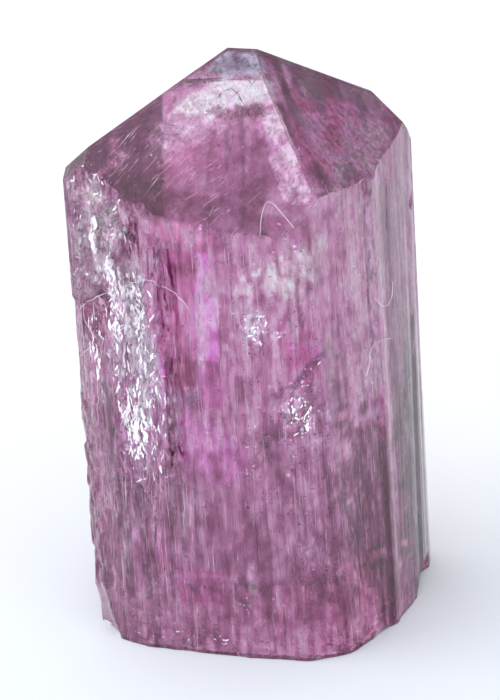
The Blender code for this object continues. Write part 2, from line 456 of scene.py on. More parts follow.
def scoop(mesh, azimuth, height, radii, depth, tilt):
    """Moves the points that lie inside a chip straight in, onto the chip's far surface."""
    turn = Euler((math.radians(tilt), 0.0, math.radians(azimuth))).to_matrix()
    back = turn.transposed()
    outward = flat_direction(azimuth)
    centre = outward * (wall_distance(azimuth, height) + radii[0] - depth)
    centre.z = height
    reach = max(radii) * (1.0 + CHIP_RIPPLE)
    local = back @ -outward
    way = Vector([part / radius for part, radius in zip(local, radii)])
    for vert in mesh.verts:
        if (vert.co - centre).length_squared > reach * reach:
            continue
        local = back @ (vert.co - centre)
        place = Vector([part / radius for part, radius in zip(local, radii)])
        if place.length > 1.0 + CHIP_RIPPLE:
            continue
        ripple = 1.0 + CHIP_RIPPLE * noise.noise(place * CHIP_RIPPLE_PITCH + centre)
        room = ripple * ripple - place.length_squared
        if room <= 0.0:
            continue
        along = place.dot(way)
        speed = way.length_squared
        distance = (-along + math.sqrt(along * along + speed * room)) / speed
        vert.co -= outward * distance


def shape_flat_faces(mesh):
    """Gives the sloping faces their slight growth relief, and the base its shallow steps."""
    for vert in mesh.verts:
        numbers = {face.material_index for face in vert.link_faces}
        if len(numbers) > 1 or 0 in numbers:
            continue
        number = numbers.pop()
        if number == BASE_NUMBER:
            level = math.floor(soft_noise(vert.co * BASE_STEP_SCALE) * BASE_STEP_LEVELS)
            step = BASE_STEP_HEIGHT * level / BASE_STEP_LEVELS
            vert.co.z += BASE_LIFT + step + BASE_GRAIN_DEPTH * noise.noise(vert.co * BASE_GRAIN_SCALE)
            continue
        _name, azimuth, slope, _height = TERMINATION[number - 1]
        loss = sum(depth * soft_noise(vert.co * scale) for scale, depth in CAP_RELIEF)
        vert.co -= cap_normal(azimuth, slope) * loss


# Sockets of the node that mixes colours: its factor and two colours, and its result.
MIX_INPUTS = (0, 6, 7)
MIX_RESULT = 2


class Nodes:
    """Short ways to add shader nodes to one tree."""

    def __init__(self, owner):
        owner.use_nodes = True
        self.owner = owner
        self.tree = owner.node_tree
        self.shader = self.tree.nodes.get("Principled BSDF")

    def add(self, kind, **settings):
        node = self.tree.nodes.new(kind)
        for name, value in settings.items():
            setattr(node, name, value)
        return node

    def link(self, source, target):
        self.tree.links.new(source, target)

    def fill(self, node, **values):
        """Sets or links inputs of a node. Their names are written with _ for a space."""
        for name, value in values.items():
            self.feed(node.inputs[name.replace("_", " ")], value)

    def feed(self, socket, value):
        if isinstance(value, bpy.types.NodeSocket):
            self.link(value, socket)
        else:
            socket.default_value = value

    def place(self, scale):
        """The point on the piece, in millimetres times scale."""
        coord = self.add("ShaderNodeTexCoord")
        mapping = self.add("ShaderNodeMapping")
        self.fill(mapping, Vector=coord.outputs["Object"], Scale=[part / MM for part in scale])
        return mapping.outputs["Vector"]

    def noise(self, scale, detail, roughness, distortion=0.0):
        node = self.add("ShaderNodeTexNoise")
        self.fill(node, Vector=self.place(scale), Scale=1.0)
        self.fill(node, Detail=detail, Roughness=roughness, Distortion=distortion)
        return node.outputs["Fac"]

    def spread(self, value, low, high, to_low=0.0, to_high=1.0, way="LINEAR"):
        """Maps low to high onto to_low to to_high, held at the ends."""
        node = self.add("ShaderNodeMapRange", interpolation_type=way)
        self.fill(node, Value=value, From_Min=low, From_Max=high, To_Min=to_low, To_Max=to_high)
        return node.outputs["Result"]

    def math(self, operation, first, second):
        node = self.add("ShaderNodeMath", operation=operation)
        for socket, value in zip(node.inputs, (first, second)):
            self.feed(socket, value)
        return node.outputs["Value"]

    def object_part(self, output, axis):
        """One part of where a point is on the piece (Object) or of how it faces (Normal)."""
        coord = self.add("ShaderNodeTexCoord")
        parts = self.add("ShaderNodeSeparateXYZ")
        self.link(coord.outputs[output], parts.inputs["Vector"])
        return parts.outputs[axis]

    def attribute(self, name, output):
        return self.add("ShaderNodeAttribute", attribute_name=name).outputs[output]

    def mix(self, factor, first, second, blend="MIX"):
        node = self.add("ShaderNodeMix", data_type="RGBA", blend_type=blend)
        for number, value in zip(MIX_INPUTS, (factor, first, second)):
            self.feed(node.inputs[number], value)
        return node.outputs[MIX_RESULT]

    def multiply(self, first, second):
        """The product of two colours."""
        return self.mix(1.0, first, second, "MULTIPLY")


# Places seen in the photo are given in its pixels, and so are sizes on the skin there. PIXEL is the
# millimetres to one of them.
PICTURE_HEIGHT = 700.0
PIXEL = VIEW_HEIGHT / PICTURE_HEIGHT
PICTURE_MIDDLE = (250.0, 350.0)

# Hues of the veils and stains that lie under the skin.
HUES = {
    "white": (0.93, 0.91, 0.96),
    # silver is the hue of the painted reflection band: a pale veil with the light above painted on it as a
    # reflection.
    "silver": (0.82, 0.87, 0.89),
    "pale lilac": (0.86, 0.81, 0.89),
    "pink": (0.84, 0.52, 0.74),
    "warm grey": (0.68, 0.61, 0.62),
    "grey": (0.46, 0.43, 0.47),
    "blue lilac": (0.52, 0.49, 0.64),
    "maroon": (0.16, 0.04, 0.10),
    "crimson": (0.34, 0.02, 0.12),
    "brown grey": (0.20, 0.15, 0.17),
    "dusk": (0.27, 0.20, 0.23),
    "mauve": (0.30, 0.14, 0.23),
    "red": (0.70, 0.22, 0.30),
    "salmon": (0.86, 0.66, 0.72),
    "strip": (0.82, 0.72, 0.84),
    "lilac": (0.86, 0.50, 0.80),
    "rose": (0.58, 0.30, 0.48),
    "slope rose": (0.82, 0.52, 0.70),
    "pale grey": (0.88, 0.85, 0.86),
}

# Stains under the skin, with painted shade and painted reflections laid in the same way: name, place, half
# width and half height in pixels, tilt in degrees, hue, how much it covers, and how ragged it is.
STAINS_AND_PAINTED_LIGHT = (
    ("tip facet", 235, 62, 38, 14, -4, "blue lilac", 1.20, 0.3),
    # Painted reflection: the two silver bands lighten the top of the front slope as if it mirrored the
    # light above.
    ("silver band", 238, 92, 40, 17, 2, "silver", 2.60, 0.25),
    ("silver band left", 188, 126, 50, 26, 40, "silver", 0.80, 0.8),
    ("lower veil on the front slope", 190, 158, 36, 16, 20, "pink", 0.40, 1.2),
    ("dark crack band", 243, 111, 26, 9, 4, "maroon", 0.60, 1.6),
    ("smudge over the edge", 296, 109, 18, 5, 2, "maroon", 0.35, 1.2),
    # Painted reflection: a pale strip along the edge between the front and right slopes, light reflected
    # inside the stone.
    ("strip by the edge", 286, 156, 13, 50, 25, "strip", 1.20, 0.5),
    # Painted shadow on the front slope and over its rim.
    ("shadow in the slope", 250, 192, 13, 44, -4, "mauve", 0.60, 0.9),
    ("shadow over the rim", 172, 208, 46, 16, -3, "mauve", 0.55, 0.9),
    ("left part of the slope", 128, 165, 26, 20, 35, "mauve", 0.45, 1.0),
    ("right slope", 350, 142, 62, 52, 25, "slope rose", 0.62, 0.9),
    ("right slope rim", 345, 188, 40, 12, 24, "mauve", 0.40, 0.8),
    ("left corner block", 96, 226, 32, 54, 0, "pale grey", 0.70, 1.2),
    ("left edge window", 91, 240, 5, 22, 4, "white", 0.90, 0.8),
    ("second window", 113, 276, 8, 22, 6, "white", 0.80, 0.8),
    ("splinter zone", 140, 366, 27, 100, 4, "pale lilac", 1.50, 0.9),
    ("upper splinters", 136, 310, 22, 34, 4, "white", 1.10, 1.3),
    ("bright splinters", 134, 428, 15, 34, 4, "white", 1.60, 1.2),
    ("lower splinters", 140, 500, 12, 46, 4, "blue lilac", 0.35, 1.2),
    ("left edge strip", 88, 405, 8, 100, 7, "salmon", 0.45, 0.6),
    ("left foot strip", 101, 525, 7, 90, 8, "salmon", 0.45, 0.6),
    ("centre veil", 286, 278, 46, 20, 24, "pale grey", 1.30, 1.3),
    ("centre veil tail", 316, 268, 14, 34, -24, "pale grey", 1.10, 1.3),
    ("corner veil", 257, 330, 9, 15, 10, "white", 1.60, 1.1),
    ("second corner veil", 278, 336, 8, 5, 20, "white", 1.40, 1.0),
    ("dark diagonal", 300, 382, 5, 38, -46, "maroon", 0.95, 1.0),
    ("glitter patch", 305, 418, 28, 26, 0, "white", 0.90, 1.8),
    ("lower glitter", 258, 455, 14, 22, 0, "warm grey", 0.45, 1.6),
    ("right face", 354, 300, 26, 120, 2, "salmon", 0.60, 1.4),
    ("right margin", 416, 320, 30, 150, 3, "pink", 0.40, 0.8),
    # Painted shade on the lower right, the side away from the light.
    ("lower right shade", 424, 500, 60, 125, 3, "dusk", 0.80, 1.3),
    ("lower right mottle", 366, 490, 36, 80, 0, "mauve", 0.70, 1.6),
    # Painted shade at the right foot.
    ("right foot shade", 385, 590, 26, 40, 0, "brown grey", 0.45, 1.2),
    ("foot cloud", 250, 612, 130, 36, 0, "rose", 0.55, 1.4),
    ("foot veil", 322, 572, 15, 32, 0, "pale grey", 0.80, 1.2),
    ("middle foot veil", 296, 510, 17, 9, 0, "warm grey", 0.50, 1.2),
    ("red patch", 365, 228, 5, 13, 0, "red", 0.55, 0.6),
    ("dark slot", 387, 200, 1.6, 32, 0, "maroon", 0.75, 0.2),
    ("crimson streak", 181, 269, 14, 4, 0, "crimson", 0.60, 0.8),
    ("second crimson streak", 184, 381, 10, 4, 0, "crimson", 0.60, 0.8),
    ("third crimson streak", 178, 411, 9, 3, 0, "crimson", 0.45, 0.8),
)

# Clear patches with soft edges, as what the skin lets through, some of them painted shade and painted
# reflections: name, place, half sizes, tilt, softness of the edge, and the red, green and blue left of the
# light.
PATCHES = (
    ("rose foot", 158, 545, 15, 25, 0, 0.50, (0.98, 0.74, 0.88)),
    ("rose right", 300, 345, 22, 24, 0, 0.60, (1.08, 0.95, 1.04)),
    # Painted shade: the grey side darkens the lower right margin.
    ("grey side", 420, 470, 20, 150, 3, 0.50, (0.50, 0.56, 0.51)),
    ("front slope", 180, 155, 120, 90, 25, 0.40, (0.88, 0.76, 0.83)),
    ("front slope shadow", 238, 190, 30, 50, -10, 0.60, (0.86, 0.76, 0.86)),
    ("right slope", 352, 140, 66, 58, 25, 0.30, (1.22, 1.00, 1.10)),
    # Painted reflection: the two silver bands let more light through, as if the slope mirrored the light
    # above.
    ("silver band", 236, 92, 40, 17, 0, 0.70, (1.16, 1.55, 1.28)),
    ("silver band left", 192, 118, 40, 17, 35, 0.80, (1.14, 1.40, 1.22)),
    # Painted shade: darker on the lower right, away from the light.
    ("dark lower right", 378, 525, 42, 120, 0, 0.90, (0.64, 0.42, 0.53)),
    ("right face", 360, 320, 28, 125, 2, 0.80, (1.08, 1.16, 1.14)),
    ("centre veil", 290, 274, 46, 24, 14, 0.80, (1.02, 1.16, 1.04)),
    ("lower body", 250, 560, 190, 160, 0, 0.60, (0.83, 0.74, 0.80)),
    ("crimson foot", 340, 610, 60, 40, 0, 0.60, (0.94, 0.82, 0.88)),
    # Painted shade on the lower right margin.
    ("brown margin", 412, 500, 22, 110, 3, 0.50, (0.66, 0.76, 0.68)),
)

# Areas with straight sides, such as parts between two growth planes: their corners in the picture, and
# the red, green and blue left of the light.
AREAS = (
    ("tip facet", ((202, 72), (226, 50), (260, 49), (265, 73)), (1.00, 1.50, 1.16)),
    # Painted reflection: the strip along the edge between the front and right slopes is made paler.
    (
        "strip by the edge",
        ((262, 112), (278, 106), (312, 198), (300, 207), (282, 198), (270, 160)),
        (1.10, 1.40, 1.20),
    ),
    # Painted shadow: the slope just over the rim is darkened.
    (
        "slope over the rim",
        ((122, 196), (170, 188), (232, 200), (262, 215), (262, 238), (218, 234), (182, 221), (120, 210)),
        (0.82, 0.70, 0.79),
    ),
    (
        "block of the left corner",
        ((64, 168), (94, 177), (127, 212), (160, 262), (66, 300)),
        (1.15, 1.36, 1.20),
    ),
    (
        "splintered zone",
        ((110, 262), (158, 258), (164, 370), (168, 472), (128, 472), (112, 372)),
        (1.25, 1.34, 1.28),
    ),
    ("left strip", ((66, 300), (110, 300), (128, 640), (104, 630)), (1.12, 1.16, 1.10)),
    ("magenta band", ((159, 252), (196, 249), (197, 386), (176, 391), (160, 376)), (0.92, 0.64, 0.82)),
    (
        "crimson in the band",
        ((166, 264), (196, 262), (196, 284), (182, 276), (168, 282)),
        (0.80, 0.66, 0.72),
    ),
    ("pale part of the band", ((162, 299), (196, 299), (195, 328), (164, 322)), (1.12, 1.14, 1.08)),
    ("foot of the band", ((172, 358), (196, 360), (196, 386), (176, 388)), (0.78, 0.56, 0.68)),
    ("box under the band", ((173, 391), (197, 391), (196, 410), (174, 409)), (0.92, 0.92, 0.96)),
    (
        "lilac window",
        ((194, 249), (217, 256), (208, 276), (219, 309), (219, 364), (199, 360), (194, 312)),
        (1.34, 1.22, 1.38),
    ),
    ("rose under the window", ((198, 364), (219, 364), (226, 410), (200, 408)), (0.94, 0.66, 0.90)),
    (
        "lower lilac",
        ((175, 413), (200, 412), (224, 426), (244, 446), (250, 468), (233, 487), (214, 486), (176, 462)),
        (1.16, 1.12, 1.20),
    ),
    (
        "rose between the veils",
        ((288, 345), (302, 340), (326, 352), (318, 374), (300, 392), (290, 384)),
        (1.12, 0.90, 1.06),
    ),
    (
        "shade by the lilac window",
        ((219, 270), (240, 262), (246, 330), (236, 400), (221, 400)),
        (0.92, 0.82, 0.90),
    ),
    (
        "pale part under the rim",
        ((124, 214), (182, 223), (217, 235), (222, 248), (190, 247), (146, 234)),
        (1.24, 1.26, 1.24),
    ),
    ("rose foot in the middle", ((176, 566), (226, 570), (222, 606), (180, 604)), (0.94, 0.70, 0.86)),
    ("dark box by the veils", ((263, 412), (284, 414), (282, 462), (262, 466)), (0.84, 0.76, 0.82)),
    ("pale stripe", ((345, 190), (349, 189), (354, 300), (350, 302)), (1.22, 1.22, 1.22)),
    ("second pale stripe", ((357, 184), (360, 182), (364, 330), (360, 330)), (1.25, 1.25, 1.25)),
    ("edge of the right face", ((364, 196), (376, 192), (392, 440), (380, 440)), (1.30, 1.36, 1.32)),
    ("fourth pale stripe", ((366, 380), (372, 378), (376, 420), (368, 424)), (1.30, 1.25, 1.30)),
    ("left stripe", ((98, 410), (104, 410), (116, 620), (110, 622)), (0.86, 0.80, 0.88)),
)
# The areas with a cloud in them: its hue and how much it covers.
AREA_CLOUDS = {
    # Painted reflection: the pale cloud of the strip along the edge.
    "strip by the edge": ("strip", 0.90),
    "foot of the band": ("crimson", 0.40),
    "box under the band": ("blue lilac", 0.50),
    "lilac window": ("lilac", 1.10),
    "lower lilac": ("lilac", 0.45),
    "pale part under the rim": ("salmon", 0.70),
    "edge of the right face": ("pink", 0.85),
    "fourth pale stripe": ("white", 0.80),
}
# How soft and how ragged the edges of the areas are, in pixels.
AREA_SOFTNESS = 3.0
AREA_RAGGED = 2.0

# What the stone lets through, and how far its grain makes that deeper and paler.
TOPAZ_BASE = (0.93, 0.585, 0.83)
DEEP_TINT = (0.82, 0.62, 0.75, 1.0)
PALE_TINT = (1.10, 1.18, 1.13, 1.0)
DEEPENING = (0.75, 1.30, 0.95)
TOPAZ_ABSORPTION = (0.50, 0.14, 0.38, 1.0)
TOPAZ_DENSITY = 115.0
TOPAZ_IOR = 1.62
TOPAZ_TRANSMISSION = 0.94

# Patterns in the stone: grains per millimetre along each axis, detail and roughness. A stretch is the part
# of a pattern that is spread out to its full effect. Then the strength of the relief and its height.
HAIRS = ((24.0, 24.0, 0.8), 2.0, 0.55)
HAIR_STRETCH = (0.32, 0.68)
HAIR_GLOSS_STRETCH = (0.40, 0.70)
HAIR_GLOSS = (0.02, 0.12)
CLOUDS = ((7.0, 7.0, 4.5), 3.0, 0.65)
CLOUD_STRETCH = (0.36, 0.64)
RELIEF = ((14.0, 14.0, 1.6), 3.0, 0.65)
RELIEF_STRENGTH = 0.16
RELIEF_HEIGHT = 0.02

# The relief left on a face that looks up, and between which upward parts it fades to that.
SLOPE_RELIEF = 0.45
SLOPE_STRETCH = (0.2, 0.4)

# Veils: their pattern, with its distortion last, its stretches with its effects on hue and on cover, the
# finish, the most cover and the depth under the skin in millimetres.
VEIL_PATTERN = ((6.0, 6.0, 2.4), 3.0, 0.58, 0.4)
VEIL_SHADE = (0.35, 0.65, 0.84, 1.10)
VEIL_BREAKS = (0.38, 0.62, 0.38, 1.25)
VEIL_METALLIC = 0.85
VEIL_ROUGHNESS = 0.42
VEIL_MOST_COVER = 0.97
VEIL_DEPTH = 0.12

# The small inclusions: colour, metallic, roughness, and grains per millimetre of their pattern. Below
# them are its detail and roughness, its stretch, and its effects on colour and roughness.
FINISHES = {
    "split crystal": ((1.0, 0.97, 1.0, 1.0), 0.9, 0.22, 3.0),
    "dark grains": ((0.06, 0.02, 0.04, 1.0), 0.0, 0.5, 3.0),
    "growth tubes": ((0.95, 0.86, 0.93, 1.0), 0.8, 0.4, 3.0),
    "split crystal sheet": ((0.97, 0.93, 0.97, 1.0), 1.0, 0.10, 4.0),
    "pale hairlines": ((0.80, 0.62, 0.75, 1.0), 0.0, 0.45, 2.5),
    "dark hairlines": ((0.16, 0.05, 0.11, 1.0), 0.0, 0.5, 2.5),
    # The white splinters are plain white, so their marks at the foot and in the middle are painted glints.
    "white splinters and painted glints": ((0.95, 0.90, 0.96, 1.0), 0.0, 0.25, 2.5),
    "lint": ((0.92, 0.88, 0.92, 1.0), 0.0, 0.7, 2.0),
}
GRAIN_PATTERN = (2.0, 0.55)
GRAIN_STRETCH = (0.3, 0.7)
GRAIN_SHADE = (0.7, 1.1)
GRAIN_ROUGHNESS = (0.6, 1.4)


def topaz_material():
    """The clear stone: its tint is painted on the skin, and fine hairs and clouds vary it. The tint holds
    painted shade and painted reflections as well as the stone's own colour.
    """
    n = Nodes(bpy.data.materials.new("topaz"))
    hairs = n.noise(*HAIRS)
    shade = n.mix(n.spread(hairs, *HAIR_STRETCH), DEEP_TINT, PALE_TINT)
    clouds = n.mix(n.spread(n.noise(*CLOUDS), *CLOUD_STRETCH), DEEP_TINT, PALE_TINT)
    tint = n.multiply(n.attribute("tint", "Color"), n.multiply(shade, clouds))
    gloss = n.spread(hairs, *HAIR_GLOSS_STRETCH, *HAIR_GLOSS)
    sloping = n.spread(n.object_part("Normal", "Z"), *SLOPE_STRETCH, 1.0, SLOPE_RELIEF)
    height = n.math("MULTIPLY", n.noise(*RELIEF), sloping)
    bump = n.add("ShaderNodeBump")
    n.fill(bump, Strength=RELIEF_STRENGTH, Distance=RELIEF_HEIGHT * MM, Height=height)
    n.fill(n.shader, Base_Color=tint, Roughness=gloss, Normal=bump.outputs["Normal"])
    n.fill(n.shader, Transmission_Weight=TOPAZ_TRANSMISSION, IOR=TOPAZ_IOR)
    absorb = n.add("ShaderNodeVolumeAbsorption")
    n.fill(absorb, Color=TOPAZ_ABSORPTION, Density=TOPAZ_DENSITY)
    n.link(absorb.outputs["Volume"], n.tree.nodes["Material Output"].inputs["Volume"])
    return n.owner


def veil_material():
    """Cloudy inclusions: a hue that the mesh carries, broken up into threads and grains. Some of that hue
    is painted shade and painted reflection.
    """
    n = Nodes(bpy.data.materials.new("veil"))
    pattern = n.noise(*VEIL_PATTERN)
    hue = n.multiply(n.attribute("hue", "Color"), n.spread(pattern, *VEIL_SHADE))
    cover = n.math("MULTIPLY", n.attribute("cover", "Fac"), n.spread(pattern, *VEIL_BREAKS))
    n.fill(n.shader, Base_Color=hue, Metallic=VEIL_METALLIC, Roughness=VEIL_ROUGHNESS)
    n.fill(n.shader, Alpha=n.math("MINIMUM", cover, VEIL_MOST_COVER))
    return n.owner


def plain_material(name):
    """The material of one of the small inclusions, its hue uneven from one to the next."""
    color, metallic, roughness, grain = FINISHES[name]
    n = Nodes(bpy.data.materials.new(name))
    pattern = n.noise((grain, grain, grain), *GRAIN_PATTERN)
    tint = n.multiply(color, n.spread(pattern, *GRAIN_STRETCH, *GRAIN_SHADE))
    rough = n.spread(pattern, *GRAIN_STRETCH, *(roughness * part for part in GRAIN_ROUGHNESS))
    n.fill(n.shader, Base_Color=tint, Metallic=metallic, Roughness=rough)
    return n.owner


def add_piece(name, mesh, material):
    data = bpy.data.meshes.new(name)
    mesh.to_mesh(data)
    mesh.free()
    obj = bpy.data.objects.new(name, data)
    bpy.context.scene.collection.objects.link(obj)
    data.materials.append(material)
    return obj


def dress(obj):
    """Makes a piece of the crystal move with it."""
    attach(obj, "root")


def centre_shift(mesh):
    """How far the mesh moves for its box to stand centred on the frame's origin, as the solid does."""
    shift = Vector((0.0, 0.0, 0.0))
    for axis in range(2):
        places = [vert.co[axis] for vert in mesh.verts]
        shift[axis] = -(min(places) + max(places)) / 2
    return shift


def shape_crystal():
    """The crystal's surface in millimetres, placed in the frame."""
    mesh = build_prism()
    cut_termination(mesh)
    shift = centre_shift(mesh)
    mesh.normal_update()
    grid_flat_faces(mesh)
    shape_flat_faces(mesh)
    for _name, azimuth, height, radii, depth, tilt in CHIPS:
        scoop(mesh, azimuth, height, radii, depth, tilt)
    for face in mesh.faces:
        face.material_index = 0
        face.smooth = True
    bmesh.ops.recalc_face_normals(mesh, faces=mesh.faces[:])
    for vert in mesh.verts:
        vert.co += shift
    mesh.normal_update()
    mesh.verts.index_update()
    return mesh


# Noises on the skin: grains per millimetre along each axis, where each noise starts, and its strength.
WOBBLE = (((1.3, 1.3, 1.3), 0.0, 0.6), ((4.1, 4.1, 4.1), 9.0, 0.5))
TINT_STREAKS = (((4.5, 4.5, 0.22), 2.0, 0.32), ((9.0, 9.0, 0.8), 5.0, 0.28))
BROAD_MOTTLE = (((1.6, 1.6, 0.9), 4.0, 0.40),)
FINE_MOTTLE = (((4.2, 4.2, 2.6), 6.0, 0.48),)
VEIL_STREAKS = (((4.0, 4.0, 0.35), 12.0, 1.0), ((8.0, 8.0, 1.0), 15.0, 0.6))
REAR_CLOUDS = (((1.3, 1.3, 1.3), 18.0, 0.8),)

# How steeply an area fades where the skin turns from the camera, and a patch where it turns from the
# patch's middle. How far in and out a patch reaches in millimetres, and how much taller it is than it is
# seen, because the camera looks down. How far round a point its normal is evened out, in millimetres.
VIEW_FADE = 4.0
FACING_FADE = 2.0
PATCH_REACH = 1.6
SEEN_SHORTER = 1.06
SMOOTHING_REACH = 0.5

# A normal that points up by more than this is a sloping face's. What is left there of the streaks of the
# tint and of the veils.
SLOPING = 0.3
SLOPE_STREAKS = 0.35
SLOPE_VEILS = 0.3

# Edges of the tint patches: raggedness on top of their softness, and how square they are. Softness of the
# stains' edges.
PATCH_RAGGED = 0.25
PATCH_SQUARENESS = 5.0
STAIN_SOFTNESS = 0.55

# Veils all over: how much cover the streaks give, what is taken off that, and the most. For the clouds
# of the two rear slopes, their mean cover, the least and the most.
STREAK_GAIN, STREAK_LOSS, STREAK_MOST = 1.1, 0.18, 0.50
REAR_COVER, REAR_LEAST, REAR_MOST = 0.40, 0.05, 0.9


class Skin:
    """The crystal's surface as arrays, for painting it and for placing what lies under it."""

    def __init__(self, mesh):
        self.points = np.array([vert.co for vert in mesh.verts])
        self.normals = np.array([vert.normal for vert in mesh.verts])
        self.tree = BVHTree.FromBMesh(mesh)
        self.wobble = self.pattern(WOBBLE)
        self.place = camera_matrix()
        self.turn = self.place.to_3x3()
        self.picture = self.project()
        self.in_view = np.clip(-self.normals @ np.array(self.turn @ (UP * -VIEW_FADE)), 0.0, 1.0)

    def noise(self, scale, shift):
        """Noise at each point, with this many grains to a millimetre along each axis."""
        scale = Vector(scale)
        start = Vector((shift, 0.0, shift))
        return np.array([noise.noise(Vector(point) * scale + start) for point in self.points])

    def pattern(self, parts):
        """The sum of these noises at each point."""
        return sum(strength * self.noise(scale, shift) for scale, shift, strength in parts)

    def project(self):
        """Where each point stands in the picture, in its pixels."""
        back = np.array(self.place.inverted())
        local = self.points @ back[:3, :3].T + back[:3, 3]
        scale = CAMERA_DISTANCE / PIXEL / -local[:, 2]
        x = PICTURE_MIDDLE[0] + local[:, 0] * scale
        return np.stack([x, PICTURE_MIDDLE[1] - local[:, 1] * scale], axis=1)

    def area(self, outline):
        """For each point of the surface, how far it is inside this outline of the picture."""
        corners = np.array(outline, dtype=float)
        nearest = np.full(len(self.points), np.inf)
        inside = np.zeros(len(self.points), dtype=bool)
        for start, end in zip(corners, np.roll(corners, -1, axis=0)):
            way = end - start
            away = self.picture - start
            share = np.clip(away @ way / (way @ way), 0.0, 1.0)
            nearest = np.minimum(nearest, np.linalg.norm(away - share[:, None] * way, axis=1))
            if start[1] != end[1]:
                crossing = start[0] + way[0] * away[:, 1] / way[1]
                between = (start[1] > self.picture[:, 1]) != (end[1] > self.picture[:, 1])
                inside ^= between & (self.picture[:, 0] < crossing)
        depth = np.where(inside, nearest, -nearest) + AREA_RAGGED * self.wobble
        share = np.clip(0.5 + depth / AREA_SOFTNESS, 0.0, 1.0)
        return share * self.in_view

    def seen(self, x, y):
        """The point of the surface that the camera sees at this pixel."""
        start = self.place.translation
        across = (x - PICTURE_MIDDLE[0]) * PIXEL
        up = (PICTURE_MIDDLE[1] - y) * PIXEL
        way = (self.turn @ Vector((across, up, -CAMERA_DISTANCE))).normalized()
        return self.tree.ray_cast(start, way)[0]

    def depth_of(self, point):
        """How deep this point lies under the nearest skin, negative outside."""
        place, normal, _index, _distance = self.tree.find_nearest(point)
        return (place - point).dot(normal)

    def route(self, outline):
        """The points of the surface that the camera sees at these pixels."""
        return [self.seen(x, y) for x, y in outline]

    def spot(self, index):
        """One point of the surface, and the way out of it."""
        return Vector(self.points[index]), Vector(self.normals[index])

    def walls(self):
        """The numbers of the points on the upright walls."""
        return np.flatnonzero(np.abs(self.normals[:, 2]) < SLOPING)

    def smooth_normal(self, point):
        """The direction that the surface faces round this point, with its grooves evened out."""
        total = Vector((0.0, 0.0, 0.0))
        for _place, normal, _index, _distance in self.tree.find_nearest_range(point, SMOOTHING_REACH):
            total += normal
        return total.normalized()

    def frame(self, point, tilt=0.0):
        """Directions across and up the surface at this point, turned left by the tilt, and out of it."""
        out = self.smooth_normal(point)
        right = UP.cross(out).normalized()
        up = out.cross(right).normalized()
        turn = math.radians(tilt)
        first = right * math.cos(turn) + up * math.sin(turn)
        second = up * math.cos(turn) - right * math.sin(turn)
        return first, second, out

    def mask(self, x, y, half_width, half_height, tilt, ragged, softness, power=2.0):
        """For each point of the surface, how far it is inside a soft patch seen at this pixel."""
        point = self.seen(x, y)
        first, second, out = self.frame(point, tilt)
        away = self.points - np.array(point)
        reach_x = np.abs(away @ np.array(first)) / (half_width * PIXEL)
        reach_y = np.abs(away @ np.array(second)) / (half_height * PIXEL * SEEN_SHORTER)
        distance = (reach_x ** power + reach_y ** power) ** (1.0 / power) + ragged * self.wobble
        inside = np.clip((1.0 + softness / 2.0 - distance) / softness, 0.0, 1.0)
        inside = inside * inside * (3.0 - 2.0 * inside)
        facing = np.clip(self.normals @ np.array(out) * FACING_FADE, 0.0, 1.0)
        near = np.clip(PATCH_REACH - np.abs(away @ np.array(out)), 0.0, 1.0)
        return inside * facing * near


def paint_tint(skin):
    """What the skin lets through, for each point, with painted shade and painted reflections in some of
    its areas and patches. A shader passes the root of its colour each way.
    """
    sloping = np.where(skin.normals[:, 2] > SLOPING, SLOPE_STREAKS, 1.0)
    streaks = skin.pattern(TINT_STREAKS) * sloping
    mottle = skin.pattern(BROAD_MOTTLE) + skin.pattern(FINE_MOTTLE) * sloping
    tint = ((1.0 + streaks) * (1.0 + mottle))[:, None] ** np.array(DEEPENING)
    for _name, outline, left in AREAS:
        tint *= 1.0 + skin.area(outline)[:, None] * (np.array(left) - 1.0)
    for _name, *place, softness, left in PATCHES:
        mask = skin.mask(*place, PATCH_RAGGED + softness, softness, PATCH_SQUARENESS)
        tint *= 1.0 + mask[:, None] * (np.array(left) - 1.0)
    return np.clip(np.array(TOPAZ_BASE) * tint ** 2, 0.0, 1.0)


def paint_stains_and_painted_light(skin):
    """The hue and the cover of the cloud under each point of the skin, painted shade and painted
    reflections among the stains.
    """
    hue = np.tile(np.array(HUES["pink"]), (len(skin.points), 1))
    cover = np.clip(STREAK_GAIN * skin.pattern(VEIL_STREAKS) - STREAK_LOSS, 0.0, STREAK_MOST)
    slopes = skin.normals[:, 2] > SLOPING
    cover *= np.where(slopes, SLOPE_VEILS, 1.0)
    rear = slopes & (skin.normals[:, 1] > 0.0)
    cover[rear] = np.clip(REAR_COVER + skin.pattern(REAR_CLOUDS)[rear], REAR_LEAST, REAR_MOST)
    hue[rear] = HUES["slope rose"]
    clouds = []
    for _name, *place, color, strength, ragged in STAINS_AND_PAINTED_LIGHT:
        clouds.append((skin.mask(*place, ragged, STAIN_SOFTNESS), color, strength))
    for name, outline, _left in AREAS:
        if name in AREA_CLOUDS:
            clouds.append((skin.area(outline), *AREA_CLOUDS[name]))
    for mask, color, strength in clouds:
        hue = hue * (1.0 - mask[:, None]) + np.array(HUES[color]) * mask[:, None]
        cover = cover * (1.0 - mask) + strength * mask
    return hue, cover


